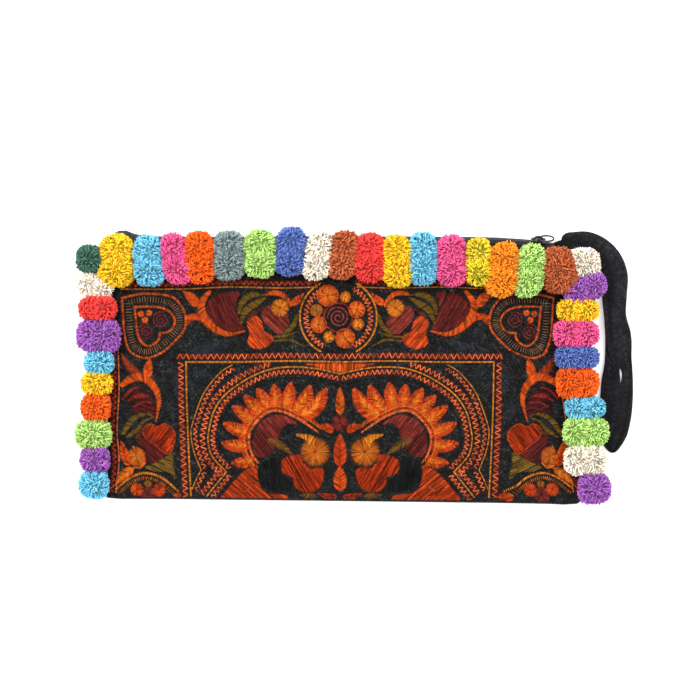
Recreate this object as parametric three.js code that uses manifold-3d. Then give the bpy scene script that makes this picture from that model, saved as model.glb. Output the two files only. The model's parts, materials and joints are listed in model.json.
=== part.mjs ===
// A flat cloth wristlet pouch lying on its back, with a yarn pompom trim round three edges of its
// front, a zip along its mouth and a cloth wrist loop at the zip's right end.
// Millimetres. +X points right along the zip, +Y points from the folded bottom to the zip, and +Z
// points up, out of the front. The origin is the middle of the back, on the surface it lies on.

import * as THREE from 'three';
import Module from 'manifold-3d';
import { mergeVertices } from 'three/addons/utils/BufferGeometryUtils.js';

const wasm = await Module();
wasm.setup();

// Driving dimensions
const GAP = 0.3;
const POUCH_WIDTH = 300;
const CLOTH = 1.6;
const SEAM_WIDTH = 4;
const SEAM_THICKNESS = 4.2;
const SIDE_RISE = 60;
const SIDE_CURL = 1;
const SIDE_CURL_REACH = 16;
const SEAM_BULGE = 0.7;
const INNER_SEAM_BULGE = 0.2;
const SMOOTH_RIM = { from: 0.1, to: 0.2 };
const FRONT_DROP = 4;
const POUCH_COLUMNS = 24;
const INNER_SECTION_STEP = 2;

const ZIP_START = -138.4;
const ZIP_END = 130.6;
const ZIP_STEPS = 30;
const ZIP_CROWDING = 1.35;
const TAPE_THICKNESS = 0.7;
const TAPE_TUCK = 7;
const CHAIN_WIDTH = 4;
const CHAIN_DEPTH = 2;
const CHAIN_BEVEL = 0.55;
const CHAIN_STAND = 2;
const ZIP_HUMP = { x: -134, rise: 4, reach: 8 };

const SLIDER_X = 119;
const SLIDER_PLATE = 1;
const POST = { start: 1.6, end: 3.4, width: 1.2 };
const POST_CLEARANCE = 0.4;
const BRIDGE = { radius: 2.9, wire: 1, width: 1.2 };
const RING = { length: 9.2, width: 6.8, wire: 1.1, height: 3.25, restTurn: 8 };

const STRAP_THICKNESS = 2.2;
const STRAP_BEVEL = 0.5;
const STRAP_STEPS = 66;
const STRAP_LOOK = 0.01;

const POMPOM_DEPTH = 20;
const POMPOM_SUNK = 0.3;
const POMPOM_POWER = 2.8;
const LOCK_TIP_DROP = 0.75;
const LOCK_ROOT_DROP = { least: 1, spread: 0.9 };
const OVERHANG = 5.5;

// Outline of the pouch seen from the front
const TOP_EDGE = [
  { x: -150, y: 65 },
  { x: -148.6, y: 71.2 },
  { x: -145, y: 75.2 },
  { x: -138, y: 78 },
  { x: -126, y: 79.3 },
  { x: -90, y: 79.6 },
  { x: 60, y: 79.6 },
  { x: 100, y: 78.8 },
  { x: 118, y: 77 },
  { x: 131, y: 74.8 },
  { x: 140, y: 72.4 },
  { x: 145.5, y: 68.4 },
  { x: 148.7, y: 62.5 },
  { x: 150, y: 54 },
];
const BOTTOM_EDGE = [
  { x: -150, y: -72.5 },
  { x: -147.5, y: -75.6 },
  { x: -142, y: -77.2 },
  { x: -120, y: -77.6 },
  { x: 0, y: -79.1 },
  { x: 120, y: -80.6 },
  { x: 142, y: -80.9 },
  { x: 147.5, y: -79.4 },
  { x: 150, y: -76 },
];

// Sections from the fold up to the mouth: height share, rise of the back, thickness at mid-width
const SECTIONS = [
  { up: 0, low: 1.3, crown: 2.6 },
  { up: 0.01, low: 0.4, crown: 4.8 },
  { up: 0.035, low: 0, crown: 7.6 },
  { up: 0.09, low: 0, crown: 11.2 },
  { up: 0.17, low: 0, crown: 14.4 },
  { up: 0.27, low: 0, crown: 16.8 },
  { up: 0.38, low: 0, crown: 18 },
  { up: 0.5, low: 0, crown: 18.2 },
  { up: 0.62, low: 0, crown: 17.6 },
  { up: 0.73, low: 0, crown: 16.2 },
  { up: 0.83, low: 0, crown: 14.2 },
  { up: 0.92, low: 0, crown: 12.2 },
  { up: 1, low: 0, crown: 10.6 },
];

// Soft dents in the front: centre, length and breadth, turn from +X in degrees, depth
const DENTS = [
  { x: -104, y: 34, length: 46, breadth: 17, turn: 34, depth: 1.1 },
  { x: 108, y: 26, length: 50, breadth: 18, turn: -38, depth: 1.2 },
  { x: 62, y: 43, length: 60, breadth: 15, turn: -8, depth: 0.9 },
  { x: -46, y: 44, length: 56, breadth: 15, turn: 7, depth: 0.8 },
  { x: 118, y: -48, length: 44, breadth: 18, turn: 40, depth: 1 },
  { x: -122, y: -46, length: 40, breadth: 18, turn: -44, depth: 0.9 },
];

// Wrist loop from its sewn neck down the upper leg to the tip, and back up the leg beneath:
// centre of the band, its width, the height of its underside and its roll in degrees
const STRAP = [
  { x: 131.4, y: 76.9, width: 3.4, lift: 2.7, roll: 0 },
  { x: 136.6, y: 77.6, width: 5.6, lift: 2.7, roll: 0 },
  { x: 141.8, y: 78.7, width: 9.4, lift: 2.7, roll: 0 },
  { x: 147.8, y: 78.1, width: 12.6, lift: 2.7, roll: 0 },
  { x: 155.5, y: 75, width: 13.4, lift: 2.7, roll: 0 },
  { x: 163.2, y: 67.9, width: 13.4, lift: 2.7, roll: 0 },
  { x: 167, y: 58.6, width: 13.6, lift: 2.7, roll: 0 },
  { x: 167, y: 46, width: 13.6, lift: 2.7, roll: 0 },
  { x: 166.3, y: 32, width: 12.8, lift: 2.7, roll: 0 },
  { x: 167.3, y: 21.4, width: 13.4, lift: 2.7, roll: 0 },
  { x: 169.6, y: 10, width: 12.2, lift: 2.7, roll: 4 },
  { x: 173, y: -3, width: 8.8, lift: 2.9, roll: 14 },
  { x: 173.4, y: -17, width: 9, lift: 2.3, roll: 25 },
  { x: 171.2, y: -30, width: 9, lift: 2.1, roll: 25 },
  { x: 168.9, y: -41, width: 7, lift: 1.4, roll: 14 },
  { x: 164.9, y: -48.4, width: 4.6, lift: 0.7, roll: 0 },
  { x: 160.8, y: -41.5, width: 7, lift: 0.2, roll: 0 },
  { x: 161.2, y: -30, width: 10.2, lift: 0.2, roll: 0 },
  { x: 162.6, y: -16, width: 10.2, lift: 0.2, roll: 0 },
  { x: 164.2, y: -3, width: 8.6, lift: 0.2, roll: 0 },
  { x: 165.8, y: 10, width: 11, lift: 0.2, roll: 0 },
  { x: 166.6, y: 21.4, width: 12.6, lift: 0.2, roll: 0 },
  { x: 166.2, y: 32, width: 12.8, lift: 0.2, roll: 0 },
  { x: 166.7, y: 46, width: 13.4, lift: 0.2, roll: 0 },
  { x: 166.6, y: 58.6, width: 13.4, lift: 0.2, roll: 0 },
  { x: 162.9, y: 67.7, width: 13.2, lift: 0.2, roll: 0 },
  { x: 155.3, y: 74.7, width: 13.2, lift: 0.2, roll: 0 },
  { x: 147.7, y: 77.9, width: 12.4, lift: 0.2, roll: 0 },
  { x: 141.8, y: 78.5, width: 9.2, lift: 0.2, roll: 0 },
  { x: 136.6, y: 77.5, width: 5.6, lift: 0.2, roll: 0 },
  { x: 131.4, y: 76.9, width: 3.4, lift: 0.2, roll: 0 },
];

// Half outlines of the slider's two plates: place along the zip, half width
const UPPER_PLATE = [
  { along: -4.4, half: 1.7 },
  { along: -3.6, half: 2.4 },
  { along: 0.6, half: 2.7 },
  { along: 2.6, half: 3.4 },
  { along: 4.1, half: 3.1 },
  { along: 4.6, half: 2 },
];
const LOWER_PLATE = [
  { along: -3.8, half: 1.2 },
  { along: -3, half: 1.7 },
  { along: 3.4, half: 1.7 },
  { along: 4, half: 1.2 },
];

// Pompoms packed end to end along three edges. span is the size along the edge, reach the size
// across it, and line the place of the pompom's middle across the edge (X on a side, Y on the top).
const LEFT_RUN = [
  { yarn: 'sky', span: 15.6, reach: 19.5, line: -151.3 },
  { yarn: 'purple', span: 14.6, reach: 19.5, line: -150.7 },
  { yarn: 'lime', span: 16.5, reach: 23.8, line: -151.6 },
  { yarn: 'orange', span: 16.2, reach: 19.5, line: -150.1 },
  { yarn: 'yellow', span: 12.8, reach: 20.7, line: -149.5 },
  { yarn: 'sky', span: 12.8, reach: 19.5, line: -148.2 },
  { yarn: 'purple', span: 19.8, reach: 28.7, line: -148.5 },
  { yarn: 'red', span: 13.4, reach: 24.4, line: -148.2 },
];
const TOP_RUN = [
  { yarn: 'yellow', span: 20.2, reach: 33.6, line: 66.8 },
  { yarn: 'sky', span: 17.4, reach: 32.3, line: 66.8 },
  { yarn: 'pink', span: 14.9, reach: 32.3, line: 68 },
  { yarn: 'orange', span: 16.5, reach: 32.9, line: 68.9 },
  { yarn: 'grey', span: 18.9, reach: 31.1, line: 69.8 },
  { yarn: 'lime', span: 19.2, reach: 30.5, line: 70.8 },
  { yarn: 'royal', span: 17.7, reach: 31.1, line: 72.3 },
  { yarn: 'ivory', span: 15.3, reach: 30.5, line: 69.5 },
  { yarn: 'brown', span: 16.2, reach: 30.5, line: 70.2 },
  { yarn: 'red', span: 17.1, reach: 31.1, line: 68.6 },
  { yarn: 'yellow', span: 15.3, reach: 32.9, line: 66.5 },
  { yarn: 'sky', span: 16.8, reach: 33.6, line: 68 },
  { yarn: 'pink', span: 18, reach: 32.3, line: 66.8 },
  { yarn: 'mustard', span: 14.6, reach: 30.5, line: 65.9 },
  { yarn: 'orange', span: 16.5, reach: 34.8, line: 61.3 },
  { yarn: 'lime', span: 16.5, reach: 33.6, line: 60.7 },
  { yarn: 'brown', span: 17.7, reach: 28.4, line: 62.1 },
];
const RIGHT_RUN = [
  { yarn: 'yellow', span: 12.8, reach: 26.8, line: 144 },
  { yarn: 'pink', span: 15.6, reach: 29.3, line: 142.7 },
  { yarn: 'royal', span: 13.1, reach: 28.1, line: 143.4 },
  { yarn: 'orange', span: 18, reach: 27.5, line: 143.7 },
  { yarn: 'sky', span: 12.2, reach: 25.6, line: 148.2 },
  { yarn: 'lime', span: 17.4, reach: 29.3, line: 148.8 },
  { yarn: 'ivory', span: 17.1, reach: 27.5, line: 148.5 },
  { yarn: 'purple', span: 17.4, reach: 21.4, line: 154 },
];
const LEFT_RUN_START = -77.5;
const TOP_RUN_START = -147.6;
const RIGHT_RUN_START = 42.7;

// Pompoms at the two upper corners: middle, width, height and turn in degrees
const LEFT_CORNER = [
  { yarn: 'ivory', x: -153.4, y: 51, width: 18.6, height: 13, turn: -16 },
  { yarn: 'dark_green', x: -154.6, y: 68, width: 14, height: 18.2, turn: 0 },
];
const RIGHT_CORNER = [
  { yarn: 'ivory', x: 149.8, y: 67, width: 16.6, height: 18.6, turn: 0 },
  { yarn: 'purple', x: 150.2, y: 50.1, width: 24.4, height: 12.2, turn: 16 },
];

const YARN_COLOURS = {
  sky: 0x5fb9e1,
  purple: 0x9655b9,
  lime: 0xa5d764,
  orange: 0xfa6e1e,
  yellow: 0xfabe28,
  red: 0xf54641,
  ivory: 0xeee4d7,
  dark_green: 0x3c6958,
  pink: 0xeb4b91,
  grey: 0x82969b,
  royal: 0x3c5ab9,
  brown: 0xaf5a2d,
  mustard: 0xe1c832,
};
const BLACK_CLOTH = { color: 0x26282a, roughness: 0.9, metalness: 0 };
const BLACK_COIL = { color: 0x1d1d20, roughness: 0.5, metalness: 0 };
const DARK_METAL = { color: 0x5a5752, roughness: 0.35, metalness: 1 };

// Smooth curve through one column of a table
function curveThrough(rows, along, column) {
  const places = rows.map((row) => row[along]);
  const values = rows.map((row) => row[column]);
  const spline = new THREE.CubicInterpolant(places, values, 1);
  return (place) => spline.evaluate(place)[0];
}

// A closed geometry from shared points, with its faces turned outwards
function closedGeometry(points, triangles) {
  let volume = 0;
  for (let i = 0; i < triangles.length; i += 3) {
    const [a, b, c] = triangles.slice(i, i + 3).map((index) => points[index]);
    volume += a.dot(b.clone().cross(c));
  }
  const geometry = new THREE.BufferGeometry().setFromPoints(points);
  geometry.setIndex(volume < 0 ? triangles.toReversed() : triangles);
  geometry.computeVertexNormals();
  return geometry;
}

// A skin through rings of points, closed at both ends; outline is the first ring, flat and
// counter-clockwise
function loft(rings, outline) {
  const count = outline.length;
  const lastRing = (rings.length - 1) * count;
  const triangles = [];
  THREE.ShapeUtils.triangulateShape(outline, []).forEach(([a, b, c]) => {
    triangles.push(c, b, a);
    triangles.push(lastRing + a, lastRing + b, lastRing + c);
  });
  for (let ring = 0; ring + 1 < rings.length; ring += 1) {
    for (let i = 0; i < count; i += 1) {
      const a = ring * count + i;
      const b = ring * count + ((i + 1) % count);
      triangles.push(a, b, b + count);
      triangles.push(a, b + count, a + count);
    }
  }
  return closedGeometry(rings.flat(), triangles);
}

// Geometry to solid and back, for joining and cutting
function solidOf(geometry) {
  const bare = geometry.clone();
  bare.deleteAttribute('normal');
  bare.deleteAttribute('uv');
  const merged = mergeVertices(bare);
  const mesh = new wasm.Mesh({
    numProp: 3,
    vertProperties: merged.attributes.position.array,
    triVerts: new Uint32Array(merged.index.array),
  });
  return new wasm.Manifold(mesh);
}

function geometryOf(solid) {
  const { vertProperties, triVerts } = solid.getMesh();
  const geometry = new THREE.BufferGeometry();
  geometry.setAttribute('position', new THREE.BufferAttribute(vertProperties, 3));
  geometry.setIndex(new THREE.BufferAttribute(triVerts, 1));
  geometry.computeVertexNormals();
  return geometry;
}

// A flat rectangle with its corners bevelled, counter-clockwise
function bevelledOutline(width, depth, bevel) {
  const [w, d] = [width / 2, depth / 2];
  return [
    [w, bevel - d], [w, d - bevel], [w - bevel, d], [bevel - w, d],
    [-w, d - bevel], [-w, bevel - d], [bevel - w, -d], [w - bevel, -d],
  ].map(([x, y]) => new THREE.Vector2(x, y));
}

function meshOf(name, geometry, look) {
  const mesh = new THREE.Mesh(geometry, new THREE.MeshStandardMaterial(look));
  mesh.name = name;
  return mesh;
}

// Surfaces of the pouch
const topEdge = curveThrough(TOP_EDGE, 'x', 'y');
const bottomEdge = curveThrough(BOTTOM_EDGE, 'x', 'y');
const backRise = curveThrough(SECTIONS, 'up', 'low');
const crown = curveThrough(SECTIONS, 'up', 'crown');

// How far the front has swelled at x: 0 on the side seams, 1 in the middle
function swell(x) {
  const inboard = THREE.MathUtils.clamp(POUCH_WIDTH / 2 - Math.abs(x), 0, SIDE_RISE);
  return Math.sin((Math.PI / 2) * (inboard / SIDE_RISE));
}

function frontTop(x) {
  return topEdge(x) - FRONT_DROP * swell(x);
}

function dentAt(x, y) {
  return DENTS.reduce((sum, dent) => {
    const turn = THREE.MathUtils.degToRad(dent.turn);
    const along = (x - dent.x) * Math.cos(turn) + (y - dent.y) * Math.sin(turn);
    const across = (y - dent.y) * Math.cos(turn) - (x - dent.x) * Math.sin(turn);
    const far = (2 * along / dent.length) ** 2 + (2 * across / dent.breadth) ** 2;
    return sum + dent.depth * Math.exp(-far);
  }, 0);
}

function backPoint(x, up) {
  const inboard = POUCH_WIDTH / 2 - Math.abs(x);
  const curl = SIDE_CURL * (1 - THREE.MathUtils.smoothstep(inboard, 0, SIDE_CURL_REACH));
  const y = THREE.MathUtils.lerp(bottomEdge(x), topEdge(x), up);
  return new THREE.Vector3(x, y, Math.max(backRise(up), curl));
}

function frontPoint(x, up) {
  const y = THREE.MathUtils.lerp(bottomEdge(x), frontTop(x), up);
  const seam = Math.min(SEAM_THICKNESS, crown(up));
  const thickness = THREE.MathUtils.lerp(seam, crown(up), swell(x));
  const fade = swell(x) * THREE.MathUtils.smoothstep(1 - up, SMOOTH_RIM.from, SMOOTH_RIM.to);
  return new THREE.Vector3(x, y, backPoint(x, up).z + thickness - fade * dentAt(x, y));
}

// Height of the front over any point of the floor plan, carried on past the pouch's edges
function frontHeight(x, y) {
  const side = POUCH_WIDTH / 2;
  const inside = THREE.MathUtils.clamp(x, -side, side);
  const up = (y - bottomEdge(inside)) / (frontTop(inside) - bottomEdge(inside));
  return frontPoint(inside, THREE.MathUtils.clamp(up, 0, 1)).z;
}

// One ring of the pouch's skin, inset for its inner face: left seam, front, right seam, back
function pouchRing(up, inset) {
  const side = POUCH_WIDTH / 2;
  const reach = (side - inset) / side;
  const wall = inset > 0 ? CLOTH : 0;
  const front = [];
  const back = [];
  for (let i = 0; i <= POUCH_COLUMNS; i += 1) {
    const share = 2 * i / POUCH_COLUMNS - 1;
    const spread = (share + Math.sin((Math.PI / 2) * share)) / 2;
    const x = side * reach * spread;
    front.push(frontPoint(x, up).sub(new THREE.Vector3(0, 0, wall)));
    back.push(backPoint(x, up).add(new THREE.Vector3(0, 0, wall)));
  }
  const seams = [0, POUCH_COLUMNS].map((i) => {
    const seam = front[i].clone().lerp(back[i], 0.5);
    seam.x += Math.sign(seam.x) * (inset > 0 ? INNER_SEAM_BULGE : SEAM_BULGE);
    return seam;
  });
  return [seams[0], ...back, seams[1], ...front.reverse()];
}

function pouchGeometry() {
  const outer = SECTIONS.map(({ up }) => pouchRing(up, 0));
  const hollow = SECTIONS.filter((_, i) => i > 0 && i % INNER_SECTION_STEP === 0);
  const inner = hollow.map(({ up }) => pouchRing(up, SEAM_WIDTH));
  const outline = outer[0].map((point) => new THREE.Vector2(point.x, point.z));
  return loft([...outer, ...inner.reverse()], outline);
}

// The zip's place at x: where each tape leaves its panel, the middle of the chain, and the
// directions across the zip (towards the front) and out of it
function zipAt(x) {
  const inFront = CLOTH + GAP + TAPE_THICKNESS / 2;
  const front = frontPoint(x, 1).sub(new THREE.Vector3(0, 0, inFront));
  const back = backPoint(x, 1).add(new THREE.Vector3(0, 0, inFront));
  const across = front.clone().sub(back).normalize();
  const out = new THREE.Vector3(0, across.z, -across.y);
  const hump = Math.exp(-(((x - ZIP_HUMP.x) / ZIP_HUMP.reach) ** 2));
  const middle = front.clone().lerp(back, 0.5).addScaledVector(out, CHAIN_STAND);
  middle.y += hump * ZIP_HUMP.rise;
  return { front, back, across, out, middle };
}

// Places along the zip, closer together at its humped left end
const ZIP_STATIONS = Array.from({ length: ZIP_STEPS + 1 }, (_, i) => {
  const share = (i / ZIP_STEPS) ** ZIP_CROWDING;
  return THREE.MathUtils.lerp(ZIP_START, ZIP_END, share);
});

// Both faces of a thin bent strip, given the points along its middle in one YZ plane
function stripRing(middle) {
  const sides = middle.map((point, i) => {
    const before = middle[Math.max(i - 1, 0)];
    const after = middle[Math.min(i + 1, middle.length - 1)];
    const incoming = point.clone().sub(before).normalize();
    const outgoing = after.clone().sub(point).normalize();
    const along = incoming.add(outgoing).normalize();
    return new THREE.Vector3(0, -along.z, along.y).multiplyScalar(TAPE_THICKNESS / 2);
  });
  const upper = middle.map((point, i) => point.clone().add(sides[i]));
  const lower = middle.map((point, i) => point.clone().sub(sides[i]));
  return [...lower, ...upper.reverse()];
}

function tapeGeometry(panel) {
  const towardsFront = panel === 'front' ? 1 : -1;
  const rings = ZIP_STATIONS.map((x) => {
    const zip = zipAt(x);
    const edge = zip[panel];
    const tucked = edge.clone();
    tucked.y -= TAPE_TUCK;
    if (panel === 'front') {
      tucked.z += frontHeight(x, tucked.y) - frontHeight(x, edge.y);
    }
    const chainSide = zip.middle.clone();
    const clear = (CHAIN_WIDTH + TAPE_THICKNESS) / 2 + 2 * GAP;
    chainSide.addScaledVector(zip.across, towardsFront * clear);
    return stripRing([tucked, edge, chainSide]);
  });
  return loft(rings, rings[0].map((point) => new THREE.Vector2(point.y, point.z)));
}

// Frame of the slider on the zip: along the zip, out of it, and across it towards the front
function sliderMatrix() {
  const { middle, across } = zipAt(SLIDER_X);
  const ahead = zipAt(SLIDER_X + 1).middle;
  const along = ahead.sub(zipAt(SLIDER_X - 1).middle).normalize();
  const out = across.clone().cross(along).normalize();
  const square = along.clone().cross(out);
  return new THREE.Matrix4().makeBasis(along, out, square).setPosition(middle);
}

// The chain, slit past the slider's post, where its two rows part
function chainGeometry() {
  const outline = bevelledOutline(CHAIN_WIDTH, CHAIN_DEPTH, CHAIN_BEVEL);
  const rings = ZIP_STATIONS.map((x) => {
    const { middle, across, out } = zipAt(x);
    return outline.map(({ x: w, y: d }) => middle.clone().addScaledVector(across, w).addScaledVector(out, d));
  });
  const slitLength = 2 * (ZIP_END - SLIDER_X);
  const slit = new THREE.BoxGeometry(slitLength, 2 * CHAIN_DEPTH, POST.width + 2 * POST_CLEARANCE);
  slit.translate(POST.start - POST_CLEARANCE + slitLength / 2, 0, 0);
  slit.applyMatrix4(sliderMatrix());
  return geometryOf(solidOf(loft(rings, outline)).subtract(solidOf(slit)));
}

// A plate of the slider in its own frame, from its half outline, with its underside at a height
function sliderPlate(halfOutline, underside) {
  const near = halfOutline.map(({ along, half }) => new THREE.Vector2(along, -half));
  const far = halfOutline.toReversed().map(({ along, half }) => new THREE.Vector2(along, half));
  const shape = new THREE.Shape([...near, ...far]);
  const plate = new THREE.ExtrudeGeometry(shape, { depth: SLIDER_PLATE, bevelEnabled: false });
  return plate.rotateX(-Math.PI / 2).translate(0, underside, 0);
}

function sliderGeometry() {
  const platesApart = CHAIN_DEPTH / 2 + GAP;
  const upper = sliderPlate(UPPER_PLATE, platesApart);
  const lower = sliderPlate(LOWER_PLATE, -platesApart - SLIDER_PLATE);
  const post = new THREE.BoxGeometry(POST.end - POST.start, 2 * platesApart + SLIDER_PLATE, POST.width);
  post.translate((POST.start + POST.end) / 2, 0, 0);

  const arch = new THREE.Shape();
  arch.absarc(0, 0, BRIDGE.radius + BRIDGE.wire / 2, 0, Math.PI, false);
  arch.absarc(0, 0, BRIDGE.radius - BRIDGE.wire / 2, Math.PI, 0, true);
  const extrusion = { depth: BRIDGE.width, bevelEnabled: false, curveSegments: 8 };
  const bridge = new THREE.ExtrudeGeometry(arch, extrusion);
  bridge.translate(0, platesApart + SLIDER_PLATE / 2, -BRIDGE.width / 2);

  const joined = [lower, post, bridge].reduce((solid, piece) => solid.add(solidOf(piece)), solidOf(upper));
  return geometryOf(joined);
}

// An oval wire ring in the XY plane, with its hinge side at the origin and its far side at +X
function ringGeometry() {
  const circle = RING.width / 2;
  const ring = new THREE.TorusGeometry(circle, RING.wire / 2, 6, 16);
  const position = ring.attributes.position;
  for (let i = 0; i < position.count; i += 1) {
    const turn = Math.atan2(position.getY(i), position.getX(i));
    const stretch = Math.cos(turn) * (RING.length / 2 - circle);
    position.setX(i, position.getX(i) + stretch + RING.length / 2);
  }
  return ring;
}

// The slider with its ring, which turns on the bridge about the slider's own Z axis
function sliderGroup() {
  const slider = meshOf('zip_slider', sliderGeometry(), DARK_METAL);
  const ring = meshOf('zip_pull', ringGeometry(), DARK_METAL);
  ring.rotation.x = Math.PI / 2;
  const hinge = new THREE.Group();
  hinge.position.y = RING.height;
  hinge.rotation.z = THREE.MathUtils.degToRad(RING.restTurn);
  hinge.add(ring);
  const group = new THREE.Group();
  group.applyMatrix4(sliderMatrix());
  group.add(slider, hinge);
  return group;
}

// The band of the wrist loop, swept along its table with a smooth curve through every column
function strapGeometry() {
  let travelled = 0;
  const rows = STRAP.map((row, i) => {
    const last = STRAP[Math.max(i - 1, 0)];
    travelled += Math.hypot(row.x - last.x, row.y - last.y);
    return { ...row, travelled };
  });
  const column = (name) => curveThrough(rows, 'travelled', name);
  const [x, y, width, lift, roll] = ['x', 'y', 'width', 'lift', 'roll'].map(column);
  const outline = bevelledOutline(STRAP[0].width, STRAP_THICKNESS, STRAP_BEVEL);
  const rings = Array.from({ length: STRAP_STEPS + 1 }, (_, step) => {
    const at = travelled * step / STRAP_STEPS;
    const [from, to] = [Math.max(at - STRAP_LOOK, 0), Math.min(at + STRAP_LOOK, travelled)];
    const heading = Math.atan2(y(to) - y(from), x(to) - x(from));
    const turn = THREE.MathUtils.degToRad(roll(at));
    const sideways = new THREE.Vector3(-Math.sin(heading), Math.cos(heading), 0);
    const across = sideways.clone().multiplyScalar(Math.cos(turn)).setZ(Math.sin(turn));
    const above = sideways.clone().multiplyScalar(-Math.sin(turn)).setZ(Math.cos(turn));
    const middle = new THREE.Vector3(x(at), y(at), lift(at) + STRAP_THICKNESS / 2);
    return bevelledOutline(width(at), STRAP_THICKNESS, STRAP_BEVEL).map(
      ({ x: w, y: d }) => middle.clone().addScaledVector(across, w).addScaledVector(above, d),
    );
  });
  return loft(rings, outline);
}

// A repeatable number from 0 to 1 for lock number i of pompom number seed
function varied(seed, i) {
  const wave = Math.sin(seed * 127.1 + i * 311.7) * 43758.5453;
  return wave - Math.floor(wave);
}

// A unit ball whose corners are shared between its faces
function sharedBall(detail) {
  const ball = new THREE.IcosahedronGeometry(1, detail);
  ball.deleteAttribute('normal');
  ball.deleteAttribute('uv');
  return mergeVertices(ball);
}

// Directions of a pompom's lock tips: the corners and face centres of an icosahedron
function lockTips() {
  const { position } = sharedBall(0).attributes;
  const cornerAt = (_, i) => new THREE.Vector3().fromBufferAttribute(position, i);
  const corners = Array.from({ length: position.count }, cornerAt);
  const faces = sharedBall(0).index.array;
  const centres = [];
  for (let i = 0; i < faces.length; i += 3) {
    const centre = corners[faces[i]].clone().add(corners[faces[i + 1]]).add(corners[faces[i + 2]]);
    centres.push(centre.normalize());
  }
  return [...corners, ...centres];
}

const LOCK_TIPS = lockTips();
const SAME_DIRECTION = 0.999;

// A squashed ball of yarn locks, flattened where it lies on the front
function pompomMesh(number, { yarn, x, y, width, height, turn }) {
  const half = new THREE.Vector3(width / 2 - GAP / 2, height / 2 - GAP / 2, POMPOM_DEPTH / 2);
  const seat = (px, py) => Math.max(frontHeight(px, py) + GAP, OVERHANG);
  const z = seat(x, y) + half.z * (1 - POMPOM_SUNK);
  const geometry = sharedBall(2);
  const position = geometry.attributes.position;
  for (let i = 0; i < position.count; i += 1) {
    const way = new THREE.Vector3().fromBufferAttribute(position, i);
    const isTip = LOCK_TIPS.some((tip) => tip.dot(way) > SAME_DIRECTION);
    const root = LOCK_ROOT_DROP.least + LOCK_ROOT_DROP.spread * varied(number, i);
    const sunk = isTip ? LOCK_TIP_DROP * varied(number, i) : root;
    const size = way.toArray().reduce((sum, part) => sum + Math.abs(part) ** POMPOM_POWER, 0);
    const point = way.clone().multiply(half).multiplyScalar(size ** (-1 / POMPOM_POWER));
    position.setXYZ(i, ...point.addScaledVector(way, -sunk));
  }
  geometry.computeBoundingBox();
  const { min, max } = geometry.boundingBox;
  const fit = new THREE.Vector3(2, 2, 2).multiply(half).divide(max.clone().sub(min));
  geometry.translate(...min.add(max).multiplyScalar(-0.5)).scale(...fit);
  geometry.rotateZ(THREE.MathUtils.degToRad(turn));
  for (let i = 0; i < position.count; i += 1) {
    const floor = seat(x + position.getX(i), y + position.getY(i)) - z;
    position.setZ(i, Math.max(position.getZ(i), floor));
  }
  geometry.computeVertexNormals();
  const look = { color: YARN_COLOURS[yarn], roughness: 0.95, metalness: 0 };
  const mesh = meshOf(`pompom_${String(number).padStart(2, '0')}`, geometry, look);
  mesh.position.set(x, y, z);
  return mesh;
}

// Places of a run of pompoms, packed end to end from start in the given direction along an edge
function placedRun(run, start, direction, edge) {
  let at = start;
  return run.map(({ yarn, span, reach, line }) => {
    const middle = at + direction * span / 2;
    at += direction * span;
    return edge === 'top'
      ? { yarn, x: middle, y: line, width: span, height: reach, turn: 0 }
      : { yarn, x: line, y: middle, width: reach, height: span, turn: 0 };
  });
}

const trim = [
  ...placedRun(LEFT_RUN, LEFT_RUN_START, 1, 'side'),
  ...LEFT_CORNER,
  ...placedRun(TOP_RUN, TOP_RUN_START, 1, 'top'),
  ...RIGHT_CORNER,
  ...placedRun(RIGHT_RUN, RIGHT_RUN_START, -1, 'side'),
];

const wristlet = new THREE.Group();
wristlet.add(
  meshOf('pouch', pouchGeometry(), BLACK_CLOTH),
  meshOf('zip_tape_front', tapeGeometry('front'), BLACK_CLOTH),
  meshOf('zip_tape_back', tapeGeometry('back'), BLACK_CLOTH),
  meshOf('zip_chain', chainGeometry(), BLACK_COIL),
  sliderGroup(),
  meshOf('wrist_strap', strapGeometry(), BLACK_CLOTH),
  ...trim.map((pompom, i) => pompomMesh(i + 1, pompom)),
);

export default wristlet;
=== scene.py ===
# An embroidered cloth wristlet lying on its back: its cloth, stitches, zip, wrist loop and yarn trim.
# Lengths are millimetres until a mesh is made. +X points right along the zip, +Y from the folded
# bottom to the zip, and +Z up, out of the front.

import json
import math

import bmesh
import bpy
import numpy as np
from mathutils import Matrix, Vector
from mathutils.bvhtree import BVHTree


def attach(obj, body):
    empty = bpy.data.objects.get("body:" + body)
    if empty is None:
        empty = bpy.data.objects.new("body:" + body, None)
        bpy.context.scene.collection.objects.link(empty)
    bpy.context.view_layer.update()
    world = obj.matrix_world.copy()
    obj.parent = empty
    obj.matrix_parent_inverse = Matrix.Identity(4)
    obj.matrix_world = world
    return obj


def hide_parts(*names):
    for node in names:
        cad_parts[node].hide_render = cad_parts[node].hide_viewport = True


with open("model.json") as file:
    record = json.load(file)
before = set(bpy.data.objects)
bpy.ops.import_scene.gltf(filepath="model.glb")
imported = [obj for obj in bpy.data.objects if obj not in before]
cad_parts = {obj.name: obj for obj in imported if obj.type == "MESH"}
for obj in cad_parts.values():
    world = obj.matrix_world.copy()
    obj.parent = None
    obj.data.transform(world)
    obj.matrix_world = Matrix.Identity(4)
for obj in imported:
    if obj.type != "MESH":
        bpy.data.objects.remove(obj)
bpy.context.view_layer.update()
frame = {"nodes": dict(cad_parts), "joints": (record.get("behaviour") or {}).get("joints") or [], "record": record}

MM = 0.001
random = np.random.default_rng(seed=11)

# View and light
VIEW_CENTRE = (4.9, 12.2)
VIEW_WIDTH = 427
CAMERA_HEIGHT = 1600
SENSOR = 36
FLOOR_DROP = 0.4
FLOOR_SIZE = 12000
FLOOR_GLOW = 0.4
SKY_STRENGTH = 0.76
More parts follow.
